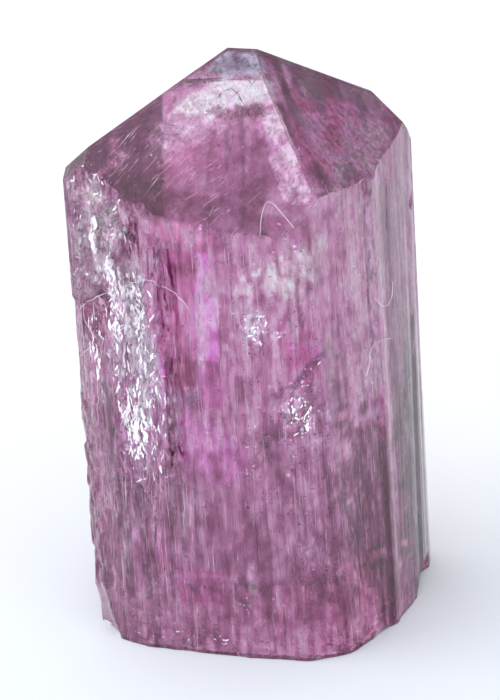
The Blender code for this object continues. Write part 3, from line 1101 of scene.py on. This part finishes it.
# Where the small inclusions gather: name, place, half sizes and tilt in pixels and degrees, and how many.
GLITTER = (
    ("left corner block", 96, 232, 32, 60, 0, 420),
    ("splinter zone", 138, 372, 24, 92, 4, 900),
    ("bright splinters", 134, 428, 14, 34, 4, 500),
    ("upper splinters", 131, 305, 16, 22, 0, 300),
    ("centre veil", 290, 272, 40, 26, 8, 180),
    ("corner veil", 256, 332, 12, 18, 0, 160),
    ("dark diagonal", 300, 382, 7, 38, -46, 120),
    ("glitter patch", 305, 418, 30, 24, 0, 420),
    ("lower glitter", 258, 455, 16, 24, 0, 160),
    ("foot veil", 322, 572, 16, 36, 0, 130),
    ("foot glints", 244, 606, 8, 6, 0, 50),
    ("rim of the foot", 250, 640, 120, 10, 0, 140),
    ("right face", 365, 330, 35, 140, 0, 220),
    ("middle", 250, 400, 60, 150, 0, 260),
    ("lower body", 280, 560, 110, 90, 0, 260),
    ("slopes", 270, 140, 110, 60, 0, 120),
)
SPREAD_GLITTER = 300
SPECKS = (
    ("dark crack band", 243, 111, 26, 8, 4, 260),
    ("front slope", 200, 150, 70, 60, 0, 90),
    ("right slope", 340, 150, 50, 50, 0, 90),
    ("right margin", 405, 430, 26, 160, 3, 450),
    ("lower right", 366, 500, 40, 100, 0, 520),
    ("foot veil", 318, 575, 20, 40, 0, 240),
    ("middle", 300, 480, 60, 60, 0, 420),
    ("upper middle", 270, 340, 60, 90, 0, 260),
    ("left", 140, 430, 50, 150, 0, 150),
    ("splinter zone", 138, 372, 24, 92, 4, 260),
)
SPREAD_SPECKS = 1100

# Edges of the places where inclusions gather, and of those where lines do: raggedness and softness.
GATHER_EDGE = (0.8, 0.9)
LINE_GATHER_EDGE = (0.7, 0.8)

# Depth of the flakes and specks under the skin, in millimetres.
INCLUSION_DEPTH = (0.03, 0.30)

# A flake: how far it turns out of the skin, its length as least, more and how seldom the more, its width
# as a share of that, its number of corners, and how far they stray.
FLAKE_TURN = 0.30
FLAKE_LENGTH = (0.012, 0.075, 3.0)
FLAKE_WIDTH = (0.3, 0.8)
FLAKE_SIDES = (4, 7)
FLAKE_STRAY = 0.3
FLAKE_REACH = (0.7, 1.1)

# A speck: its half width like a flake's length, and its other half sizes as shares of that.
SPECK_SIZE = (0.008, 0.022, 2.0)
SPECK_DEEP = (0.6, 1.0)
SPECK_LONG = (1.0, 2.2)
SPECK_FACES = ((0, 2, 4), (2, 1, 4), (1, 3, 4), (3, 0, 4), (2, 0, 5), (1, 2, 5), (3, 1, 5), (0, 3, 5))


def mostly_small(rng, least, more, power):
    """A random size from the least up, seldom with all of the more."""
    return least + more * rng.random() ** power


def scatter(skin, gathers, spread_number, rng):
    """Places and directions of the inclusions: those that gather, and some spread all over the skin."""
    weights = np.zeros(len(skin.points))
    for _name, *place, number in gathers:
        mask = skin.mask(*place, *GATHER_EDGE)
        weights += mask * number / mask.sum()
    count = sum(gather[-1] for gather in gathers)
    gathered = rng.choice(len(weights), size=count, p=weights / weights.sum())
    others = rng.choice(len(weights), size=spread_number)
    return [skin.spot(index) for index in np.concatenate([gathered, others])]


def add_shell(mesh, points, faces):
    verts = [mesh.verts.new(point * MM) for point in points]
    for face in faces:
        mesh.faces.new([verts[index] for index in face])


def add_rod(mesh, rings):
    """A closed rod through these rings of four corners."""
    corners = [corner for ring in rings for corner in ring]
    faces = [(3, 2, 1, 0), tuple(range(len(corners) - 4, len(corners)))]
    for first in range(0, len(corners) - 4, 4):
        for i, j in ((0, 1), (1, 2), (2, 3), (3, 0)):
            faces.append((first + i, first + j, first + 4 + j, first + 4 + i))
    add_shell(mesh, corners, faces)


def build_glitter(skin, rng):
    """Tiny bright flakes of split crystal just under the skin, each turned its own way."""
    mesh = bmesh.new()
    for point, normal in scatter(skin, GLITTER, SPREAD_GLITTER, rng):
        centre = point - normal * rng.uniform(*INCLUSION_DEPTH)
        tilted = (normal + Vector(rng.normal(0.0, FLAKE_TURN, 3))).normalized()
        long_way = tilted.cross(UP.cross(tilted) + Vector(rng.normal(0.0, FLAKE_TURN, 3)))
        long_way = long_way.normalized().cross(tilted).normalized()
        wide_way = tilted.cross(long_way)
        length = mostly_small(rng, *FLAKE_LENGTH)
        width = length * rng.uniform(*FLAKE_WIDTH)
        corners = []
        sides = int(rng.integers(*FLAKE_SIDES))
        for side in range(sides):
            angle = 2.0 * math.pi * (side + rng.uniform(-FLAKE_STRAY, FLAKE_STRAY)) / sides
            reach = rng.uniform(*FLAKE_REACH)
            along = long_way * (length * reach * math.sin(angle))
            corners.append(centre + along + wide_way * (width * reach * math.cos(angle)))
        add_shell(mesh, corners, [range(sides)])
    dress(add_piece("glittering_flakes", mesh, plain_material("split crystal")))


def build_specks(skin, rng):
    """Tiny dark grains under the skin, each an octahedron."""
    mesh = bmesh.new()
    for point, normal in scatter(skin, SPECKS, SPREAD_SPECKS, rng):
        size = mostly_small(rng, *SPECK_SIZE)
        centre = point - normal * rng.uniform(*INCLUSION_DEPTH)
        turn = Euler(rng.uniform(0.0, math.pi, 3)).to_matrix()
        stretch = (size, size * rng.uniform(*SPECK_DEEP), size * rng.uniform(*SPECK_LONG))
        corners = []
        for way, reach in zip(turn.col, stretch):
            corners += [centre + way * reach, centre - way * reach]
        add_shell(mesh, corners, SPECK_FACES)
    dress(add_piece("dark_specks", mesh, plain_material("dark grains")))


# Growth tubes: number, places tested along each, depth under the skin, length as least, more and how
# seldom the more, radius, heights between which they stay, least length, and clear radii to the skin.
# Then their rings from the top: place along the tube and part of the radius.
TUBE_COUNT = 900
TUBE_TESTS = 8
TUBE_DEPTH = (0.05, 0.9)
TUBE_LENGTH = (0.25, 2.6, 2.5)
TUBE_RADIUS = (0.006, 0.020)
TUBE_LOW, TUBE_HIGH = 0.15, 13.2
TUBE_LEAST = 0.1
TUBE_CLEARANCE = 2.0
TUBE_RINGS = ((1.0, 0.2), (0.85, 1.0), (0.15, 1.0), (0.0, 0.2))


def build_tubes(skin, rng):
    """Hair-fine growth tubes that run up the prism just under its walls."""
    mesh = bmesh.new()
    for index in rng.choice(skin.walls(), size=TUBE_COUNT):
        point, normal = skin.spot(index)
        normal.z = 0.0
        normal.normalize()
        side = normal.cross(UP)
        centre = point - normal * rng.uniform(*TUBE_DEPTH)
        length = mostly_small(rng, *TUBE_LENGTH)
        radius = rng.uniform(*TUBE_RADIUS)
        low = max(centre.z - length / 2, TUBE_LOW)
        high = min(centre.z + length / 2, TUBE_HIGH)
        if high - low < TUBE_LEAST:
            continue
        foot = Vector((centre.x, centre.y, low))
        tests = [foot + UP * ((high - low) * step / TUBE_TESTS) for step in range(TUBE_TESTS + 1)]
        if min(skin.depth_of(place) for place in tests) < TUBE_CLEARANCE * radius:
            continue
        rings = []
        for share, size in TUBE_RINGS:
            middle = foot + UP * ((high - low) * share)
            rings.append([middle + way * radius * size for way in (side, normal, -side, -normal)])
        add_rod(mesh, rings)
    dress(add_piece("growth_tubes", mesh, plain_material("growth tubes")))


# Fine lines on the surface. Where they gather: name, place, half sizes and tilt in pixels and degrees, how
# many, their direction from level and how much it varies in degrees, and the longest in millimetres.
PALE_LINES = (
    ("hatching on the left slope", 152, 150, 62, 40, 25, 170, 52, 5, 0.9),
    ("hatching in the middle of the slope", 205, 190, 40, 40, 0, 60, 50, 14, 0.8),
    ("mesh on the right slope", 352, 165, 52, 34, 20, 170, 30, 14, 0.7),
    ("mesh across the right slope", 345, 150, 50, 44, 20, 60, 140, 24, 0.4),
    ("right face", 365, 290, 34, 110, 0, 300, 90, 1, 3.0),
    ("right margin", 408, 420, 14, 180, 3, 100, 90, 1, 2.0),
    ("left strip", 92, 420, 14, 170, 6, 120, 90, 2, 2.4),
    ("splinters", 138, 380, 24, 100, 4, 300, 90, 9, 1.1),
    ("upper splinters", 120, 280, 30, 50, 0, 120, 110, 24, 0.7),
    ("lower left", 150, 540, 50, 90, 0, 150, 90, 2, 2.4),
    ("middle", 250, 440, 60, 160, 0, 120, 90, 2, 1.4),
    ("lower right", 350, 520, 60, 100, 0, 120, 90, 2, 1.4),
)
DARK_LINES = (
    ("silver band", 235, 92, 40, 16, 0, 60, 60, 60, 0.35),
    ("left slope", 140, 170, 70, 40, 25, 60, 48, 20, 0.6),
    ("right slope", 350, 150, 60, 50, 20, 70, 30, 40, 0.5),
    ("splinters", 139, 370, 26, 98, 4, 460, 90, 16, 0.7),
    ("corner block", 96, 230, 30, 56, 0, 180, 110, 40, 0.5),
    ("right face", 365, 300, 36, 120, 0, 120, 90, 1, 2.4),
    ("magenta band", 180, 320, 20, 70, 0, 50, 90, 2, 1.6),
    ("middle", 250, 400, 50, 120, 0, 110, 90, 3, 0.9),
    ("lower body", 260, 560, 140, 90, 0, 240, 90, 2, 1.3),
    ("right margin", 405, 440, 24, 170, 3, 160, 90, 2, 1.4),
)
# White splinters of the broken wall, in the same way. At the foot, in the glitter patch, on the diagonal
# and in the corner veils they are painted glints: plain white marks that stand for sparkles of light.
SPLINTERS_AND_PAINTED_GLINTS = (
    ("splinter zone", 139, 370, 23, 94, 4, 240, 90, 18, 0.50),
    ("bright splinters", 134, 428, 13, 32, 4, 150, 92, 15, 0.45),
    ("upper splinters", 134, 306, 18, 26, 0, 150, 100, 30, 0.35),
    ("left window", 91, 240, 4, 20, 4, 60, 94, 4, 0.6),
    ("second window", 112, 276, 6, 20, 6, 70, 96, 5, 0.6),
    ("corner block", 98, 215, 26, 40, 0, 110, 70, 50, 0.25),
    ("corner veil", 257, 330, 8, 14, 0, 50, 90, 40, 0.20),
    ("second corner veil", 278, 336, 6, 4, 0, 14, 60, 40, 0.14),
    ("glitter patch", 302, 416, 14, 15, 0, 80, 90, 30, 0.22),
    ("diagonal", 304, 384, 4, 20, -46, 26, 60, 30, 0.15),
    ("foot glints", 244, 606, 6, 3, 0, 12, 10, 40, 0.12),
    ("rim of the foot", 200, 640, 70, 6, 0, 26, 20, 40, 0.15),
    ("left strip", 96, 350, 6, 40, 6, 24, 95, 6, 0.5),
)
# The three kinds of lines: their piece, their material, where they gather, their widths, how many more
# stand on the walls, and the seed of their random draws.
LINE_WIDTH = (0.003, 0.008)
SPLINTER_WIDTH = (0.016, 0.12)
LINES = (
    ("pale_hairlines", "pale hairlines", PALE_LINES, LINE_WIDTH, 420, 24),
    ("dark_hairlines", "dark hairlines", DARK_LINES, LINE_WIDTH, 420, 25),
    ("white_splinters_and_painted_glints", "white splinters and painted glints", SPLINTERS_AND_PAINTED_GLINTS, SPLINTER_WIDTH, 0, 26),
)

# A line's length as a share of the longest: least, more, and how seldom the more. It is this many times
# as long as wide or more. The same for the lines on the walls, with the longest of them.
LINE_SHARE = (0.12, 0.88, 2.5)
LINE_SLENDER = 3.0
WALL_LINE_SHARE = (0.1, 0.9, 2.5)
WALL_LINE_LENGTH = 1.8

# A ribbon: the pitch of its steps and the fewest, how far it stands off the skin and how far it may lose
# it, the share of its width at the ends, and how ragged its sides are, with the grain of that, how far
# apart the two sides are in the noise, and the least share of the width left.
LINE_STEP = 0.16
LINE_FEWEST_STEPS = 6
LINE_LIFT = 0.004
LINE_LOST = 0.2
LINE_END = 0.25
LINE_RAGGED = 2.0
LINE_RAGGED_SCALE = 16.0
LINE_RAGGED_SIDE = Vector((5.0, 0.0, 0.0))
LINE_RAGGED_LEAST = 0.1


def add_ribbon(mesh, skin, start, out, direction, length, width):
    """A thin line laid on the surface, narrowing to its ends."""
    side = out.cross(direction).normalized() * (width / 2)
    count = max(LINE_FEWEST_STEPS, round(length / LINE_STEP) + 1)
    pairs = []
    for step in range(count):
        share = step / (count - 1)
        place, normal, _index, away = skin.tree.find_nearest(start + direction * (length * (share - 0.5)))
        if away > LINE_LOST:
            break
        taper = LINE_END + (1.0 - LINE_END) * math.sin(math.pi * share)
        middle = place + normal * LINE_LIFT
        pair = []
        for sign in (1.0, -1.0):
            ragged = noise.noise(middle * LINE_RAGGED_SCALE + LINE_RAGGED_SIDE * sign)
            reach = taper * sign * max(1.0 + LINE_RAGGED * ragged, LINE_RAGGED_LEAST)
            pair.append(mesh.verts.new((middle + side * reach) * MM))
        pairs.append(pair)
    for (left, right), (next_left, next_right) in zip(pairs, pairs[1:]):
        mesh.faces.new((left, right, next_right, next_left))


def build_lines(skin, piece, material, gathers, widths, wall_count, seed):
    """Lines of one kind: those that gather, and upright ones all over the walls."""
    rng = np.random.default_rng(seed)
    mesh = bmesh.new()
    for _name, *place, count, angle, spread, longest in gathers:
        mask = skin.mask(*place, *LINE_GATHER_EDGE)
        for index in rng.choice(len(mask), size=count, p=mask / mask.sum()):
            start, _normal = skin.spot(index)
            first, _second, out = skin.frame(start, rng.normal(angle, spread))
            length = longest * mostly_small(rng, *LINE_SHARE)
            width = min(rng.uniform(*widths), length / LINE_SLENDER)
            add_ribbon(mesh, skin, start, out, first, length, width)
    for index in rng.choice(skin.walls(), size=wall_count):
        start, _normal = skin.spot(index)
        length = WALL_LINE_LENGTH * mostly_small(rng, *WALL_LINE_SHARE)
        add_ribbon(mesh, skin, start, skin.smooth_normal(start), UP, length, rng.uniform(*widths))
    dress(add_piece(piece, mesh, plain_material(material)))


# Open cracks seen as dark lines, and lint fibres that lie on the stone, by points of the picture. Then
# the cracks' width and how far their parts overlap, and the fibres' radius, how far their middles stand
# off the stone, and the steps between two points.
CRACKS = (
    ((207, 73), (209, 79), (208, 85)),
    ((243, 76), (248, 80), (252, 84), (256, 79)),
    ((252, 84), (250, 88)),
    ((163, 134), (172, 135), (182, 134)),
    ((176, 92), (186, 88), (196, 84)),
    ((216, 100), (222, 92), (231, 88), (238, 94), (243, 104)),
    ((160, 118), (168, 124), (176, 126)),
    ((229, 121), (233, 132), (232, 146), (229, 152)),
    ((219, 262), (224, 264)),
    ((196, 258), (197, 263)),
    ((198, 290), (200, 304)),
    ((219, 330), (221, 352), (219, 368)),
    ((174, 486), (186, 487), (196, 489)),
    ((235, 468), (238, 480)),
    ((264, 414), (263, 440)),
    ((386, 172), (387, 200), (386, 230)),
)
LINT = (
    ((260, 236), (262, 215), (267, 203), (274, 205), (284, 216), (294, 228)),
    (
        (80, 310), (88, 301), (106, 293), (124, 286), (141, 281),
        (154, 281), (168, 288), (181, 299), (189, 309),
    ),
    ((83, 303), (85, 318), (90, 328), (97, 339)),
    ((81, 356), (86, 351), (92, 346)),
    ((375, 298), (380, 305), (386, 305), (391, 296), (392, 281)),
    ((369, 356), (371, 348), (379, 341), (392, 338)),
    ((366, 376), (368, 366), (370, 356)),
)
CRACK_WIDTH = 0.022
CRACK_OVERLAP = 1.1
LINT_RADIUS = 0.008
LINT_LIFT = 0.03
LINT_STEPS = 6


def curve_through(points, steps):
    """Points along a smooth curve through these."""
    ends = [points[0] * 2 - points[1]] + points + [points[-1] * 2 - points[-2]]
    route = []
    for before, start, end, after in zip(ends, ends[1:], ends[2:], ends[3:]):
        for step in range(steps):
            t = step / steps
            bend = (before * 2 - start * 5 + end * 4 - after) * t * t
            bend += (start * 3 - before - end * 3 + after) * t * t * t
            route.append((start * 2 + (end - before) * t + bend) / 2)
    return route + [points[-1]]


def build_lint(skin):
    """A few pale fibres that cling to the stone, touching it at their ends."""
    mesh = bmesh.new()
    for outline in LINT:
        places = skin.route(outline)
        outs = [skin.smooth_normal(place) for place in places]
        route = curve_through(places, LINT_STEPS)
        lifts = curve_through(outs, LINT_STEPS)
        rings = []
        for step, (place, out) in enumerate(zip(route, lifts)):
            share = step / (len(route) - 1)
            nearest, _normal, _index, _away = skin.tree.find_nearest(place)
            middle = nearest + out * (LINT_RADIUS + LINT_LIFT * math.sin(math.pi * share))
            way = (route[min(step + 1, len(route) - 1)] - route[max(step - 1, 0)]).normalized()
            side = way.cross(out).normalized() * LINT_RADIUS
            top = side.cross(way).normalized() * LINT_RADIUS
            rings.append([middle + side, middle + top, middle - side, middle - top])
        add_rod(mesh, rings)
    dress(add_piece("lint_fibres", mesh, plain_material("lint")))


def build_cracks(skin):
    """Ribbons along the open cracks, as dark as the dark hairlines."""
    mesh = bmesh.new()
    for outline in CRACKS:
        places = skin.route(outline)
        out = skin.smooth_normal(places[0])
        for start, end in zip(places, places[1:]):
            way = end - start
            length = way.length * CRACK_OVERLAP
            add_ribbon(mesh, skin, (start + end) / 2, out, way.normalized(), length, CRACK_WIDTH)
    dress(add_piece("open_cracks", mesh, bpy.data.materials["dark hairlines"]))


# Shattered sheets inside the left wall and behind the front: name, place, half width and half height in
# pixels, tilt in degrees, depth under the skin and size of the shards in millimetres, and relief.
SHATTERS = (
    ("splinter sheet", 140, 360, 24, 92, 4, 0.40, (0.16, 0.55), 0.55),
    ("bright splinter sheet", 134, 428, 14, 34, 4, 0.25, (0.12, 0.35), 0.60),
    ("upper splinter sheet", 132, 306, 16, 18, 0, 0.30, (0.14, 0.20), 0.60),
    ("corner block sheet", 98, 225, 24, 44, 0, 0.45, (0.20, 0.25), 0.60),
    ("left window", 91, 240, 5, 22, 4, 0.20, (0.14, 0.50), 0.25),
    ("second window", 112, 276, 7, 22, 6, 0.20, (0.14, 0.50), 0.25),
    ("corner veil", 257, 330, 10, 17, 0, 0.30, (0.14, 0.16), 0.60),
    ("second corner veil", 278, 336, 7, 6, 0, 0.30, (0.10, 0.12), 0.60),
    ("glitter sheet", 304, 420, 24, 20, 0, 0.35, (0.14, 0.20), 0.65),
    ("diagonal sheet", 300, 382, 5, 34, -46, 0.30, (0.10, 0.16), 0.60),
    ("foot glints", 244, 606, 8, 5, 0, 0.30, (0.14, 0.16), 0.40),
)
# A sheet: the pitch of its mesh, how far apart two sheets are in the noise, how ragged its edge is, with
# how fine and how strong that is, where its edge is cut, and the pitch, step and limit of its gaps.
SHARD_GRID = 0.035
SHEET_STEP = 10.0
SHEET_RAGGED = ((2.6, 0.55), (7.0, 0.35))
SHEET_EDGE = 0.85
SHEET_GAP_PITCH = (0.30, 0.8)
SHEET_GAP_STEP = 3.0
SHEET_GAP_LIMIT = -0.18

# From how far out the skin is looked for, and how far from the flat patch it may be. Then how much the
# shards' borders bend and how fine that is, and where the two slopes of a shard are in the noise.
SHEET_RAY = 1.5
SHEET_HOLLOW = 1.2
SHARD_WARP = 0.5
SHARD_WARP_SCALE = 3.0
SHARD_SLOPE_STEPS = (Vector((31.3, 0.0, 0.0)), Vector((0.0, 57.7, 0.0)))


def shard_lift(a, b, shape, bend, number, relief):
    """How far the shard at this place of a sheet stands back there."""
    places = [a / shape[0] + bend, b / shape[1] + bend]
    middles = [math.floor(place) + 0.5 for place in places]
    cell = Vector((*middles, math.floor(number * SHEET_STEP) + 0.5))
    lift = 0.0
    for place, middle, size, step in zip(places, middles, shape, SHARD_SLOPE_STEPS):
        lift += (noise.cell(cell + step) - 0.5) * relief * ((place - middle) * size)
    return lift


def build_shatters(skin):
    """Crazed sheets: each is a patch of small flat shards that follow the skin at their depth."""
    mesh = bmesh.new()
    for number, (_name, x, y, wide, high, tilt, depth, shape, relief) in enumerate(SHATTERS):
        centre = skin.seen(x, y)
        first, second, out = skin.frame(centre, tilt)
        half_width, half_height = wide * PIXEL, high * PIXEL * SEEN_SHORTER
        grid = {}
        for column in range(int(2 * half_width / SHARD_GRID) + 1):
            for row in range(int(2 * half_height / SHARD_GRID) + 1):
                a = -half_width + column * SHARD_GRID
                b = -half_height + row * SHARD_GRID
                at = Vector((a, b, number * SHEET_STEP))
                edge = math.hypot(a / half_width, b / half_height)
                edge += sum(strength * noise.noise(at * scale) for scale, strength in SHEET_RAGGED)
                gap_place = (a / SHEET_GAP_PITCH[0], b / SHEET_GAP_PITCH[1], number * SHEET_GAP_STEP)
                if edge > SHEET_EDGE or noise.noise(Vector(gap_place)) < SHEET_GAP_LIMIT:
                    continue
                place = centre + first * a + second * b
                hit = skin.tree.ray_cast(place + out * SHEET_RAY, -out)[0]
                if hit is None or abs((hit - place).dot(out)) > SHEET_HOLLOW:
                    continue
                bend = SHARD_WARP * noise.noise(at * SHARD_WARP_SCALE)
                lift = shard_lift(a, b, shape, bend, number, relief)
                grid[column, row] = mesh.verts.new((hit - out * (depth + lift)) * MM)
        for (column, row), vert in grid.items():
            keys = ((column + 1, row), (column + 1, row + 1), (column, row + 1))
            others = [grid.get(key) for key in keys]
            if None not in others:
                mesh.faces.new([vert] + others)
    dress(add_piece("shattered_sheets", mesh, plain_material("split crystal sheet")))


# The layer of veils is the skin drawn in towards this point, by its depth over the crystal's half sizes.
LAYER_MIDDLE = Vector((0.0, 0.0, 8.5))
LAYER_REACH = (4.75, 4.75, 8.6)
LEAST_COVER = 0.03


def build_veils(skin_mesh, hue, cover):
    """A cloud of inclusions, with painted shade and painted reflections in it, that follows the skin at
    its depth, where there is enough of it.
    """
    mesh = skin_mesh.copy()
    mesh.verts.ensure_lookup_table()
    scale = Vector([1.0 - VEIL_DEPTH / reach for reach in LAYER_REACH])
    hue_layer = mesh.verts.layers.float_color.new("hue")
    cover_layer = mesh.verts.layers.float.new("cover")
    for vert in mesh.verts:
        vert.co = (LAYER_MIDDLE + (vert.co - LAYER_MIDDLE) * scale) * MM
        vert[hue_layer] = (*hue[vert.index], 1.0)
        vert[cover_layer] = cover[vert.index]
    empty = [face for face in mesh.faces if max(cover[vert.index] for vert in face.verts) < LEAST_COVER]
    bmesh.ops.delete(mesh, geom=empty, context="FACES")
    dress(add_piece("veils_and_painted_light_under_skin", mesh, veil_material()))


def build_clear_stone(mesh, tint):
    """The crystal itself, with what its skin lets through painted on it, painted shade and painted
    reflections among that.
    """
    for vert in mesh.verts:
        vert.co *= MM
    crystal = add_piece("crystal", mesh, topaz_material())
    layer = crystal.data.attributes.new("tint", "FLOAT_COLOR", "POINT")
    filled = np.concatenate([tint, np.ones((len(tint), 1))], axis=1)
    layer.data.foreach_set("color", filled.astype(np.float32).ravel())
    crystal.data.set_sharp_from_angle(angle=math.radians(SHARP_ANGLE))
    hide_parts("topaz_crystal")
    dress(crystal)


# What is scattered by chance, and the seed of its random draws.
SCATTERED = ((build_glitter, 21), (build_specks, 22), (build_tubes, 23))


def build_crystal():
    """The crystal and everything in it and on it."""
    mesh = shape_crystal()
    skin = Skin(mesh)
    build_veils(mesh, *paint_stains_and_painted_light(skin))
    for build, seed in SCATTERED:
        build(skin, np.random.default_rng(seed))
    build_shatters(skin)
    for kind in LINES:
        build_lines(skin, *kind)
    build_cracks(skin)
    build_lint(skin)
    build_clear_stone(mesh, paint_tint(skin))


def camera_matrix():
    """Where the camera stands and how it is turned, in millimetres."""
    elevation = math.radians(CAMERA_ELEVATION)
    back = Vector((0.0, -math.cos(elevation), math.sin(elevation)))
    place = Matrix.Translation(AIM + back * CAMERA_DISTANCE)
    turn = back.to_track_quat("Z", "Y").to_matrix().to_4x4()
    return place @ turn @ Matrix.Rotation(math.radians(-CAMERA_ROLL), 4, "Z")


def set_camera():
    data = bpy.data.cameras.new("camera")
    data.sensor_fit = "VERTICAL"
    data.sensor_height = SENSOR_HEIGHT
    data.lens = SENSOR_HEIGHT * CAMERA_DISTANCE / VIEW_HEIGHT
    data.clip_start = CLIP_START
    camera = bpy.data.objects.new("camera", data)
    bpy.context.scene.collection.objects.link(camera)
    matrix = camera_matrix()
    matrix.translation *= MM
    camera.matrix_world = matrix
    bpy.context.scene.camera = camera


# The room's light, by direction: an even pale glow, a bright window, a lamp, a fill and a dim side. Each
# has its direction, the cosines from it between which it rises, and the strengths before and after.
SKY_COLOR = (0.97, 0.98, 1.0, 1.0)
SKY_STRENGTH = 1.07
WINDOW = (Vector((-0.60, 0.45, 0.66)).normalized(), 0.80, 0.93, SKY_STRENGTH, 1.5)
LAMP = (Vector((-0.75, -0.20, 0.63)).normalized(), 0.84, 0.95, 0.0, 1.3)
FILL = (Vector((0.0, -0.95, 0.30)).normalized(), 0.50, 0.90, 0.0, 0.8)
DIM = (Vector((0.97, 0.15, 0.15)).normalized(), 0.60, 0.95, 1.0, 0.50)


def set_world():
    world = bpy.data.worlds.new("studio")
    bpy.context.scene.world = world
    n = Nodes(world)
    looking = n.add("ShaderNodeTexCoord").outputs["Generated"]

    def glow(towards, *stretch):
        dot = n.add("ShaderNodeVectorMath", operation="DOT_PRODUCT")
        n.feed(dot.inputs[0], looking)
        n.feed(dot.inputs[1], towards)
        return n.spread(dot.outputs["Value"], *stretch, way="SMOOTHSTEP")

    strength = n.math("ADD", n.math("ADD", glow(*WINDOW), glow(*LAMP)), glow(*FILL))
    strength = n.math("MULTIPLY", strength, glow(*DIM))
    n.fill(n.tree.nodes["Background"], Color=SKY_COLOR, Strength=strength)


# The floor: half its side in metres, how far it lies under the crystal and between which places its
# colour fades in millimetres, its two colours and its roughness.
FLOOR_HALF = 1.5
FLOOR_GAP = 0.02
FLOOR_NEAR, FLOOR_FAR = -6.0, 13.0
# Painted shade: the floor is darker and bluer in front of the crystal and under it than behind it.
FLOOR_NEAR_COLOR = (0.74, 0.78, 0.835, 1.0)
FLOOR_FAR_COLOR = (0.78, 0.80, 0.82, 1.0)
FLOOR_ROUGHNESS = 0.8


def set_stage():
    mesh = bmesh.new()
    bmesh.ops.create_grid(mesh, x_segments=1, y_segments=1, size=FLOOR_HALF)
    n = Nodes(bpy.data.materials.new("pale floor"))
    # Painted shade: the floor darkens and turns bluer towards the front.
    rear = n.spread(n.object_part("Object", "Y"), FLOOR_NEAR * MM, FLOOR_FAR * MM)
    color = n.mix(rear, FLOOR_NEAR_COLOR, FLOOR_FAR_COLOR)
    n.fill(n.shader, Base_Color=color, Roughness=FLOOR_ROUGHNESS)
    floor = add_piece("floor", mesh, n.owner)
    floor.location.z = -FLOOR_GAP * MM


# How often light turns in the stone, and how often on plain surfaces.
STONE_BOUNCES = 16
GLOSSY_BOUNCES = 8
DIFFUSE_BOUNCES = 4


def main():
    scene = bpy.context.scene
    scene.view_settings.view_transform = "Standard"
    scene.cycles.use_denoising = True
    scene.cycles.max_bounces = STONE_BOUNCES
    scene.cycles.transmission_bounces = STONE_BOUNCES
    scene.cycles.transparent_max_bounces = STONE_BOUNCES
    scene.cycles.glossy_bounces = GLOSSY_BOUNCES
    scene.cycles.diffuse_bounces = DIFFUSE_BOUNCES
    set_camera()
    set_world()
    set_stage()
    build_crystal()


main()
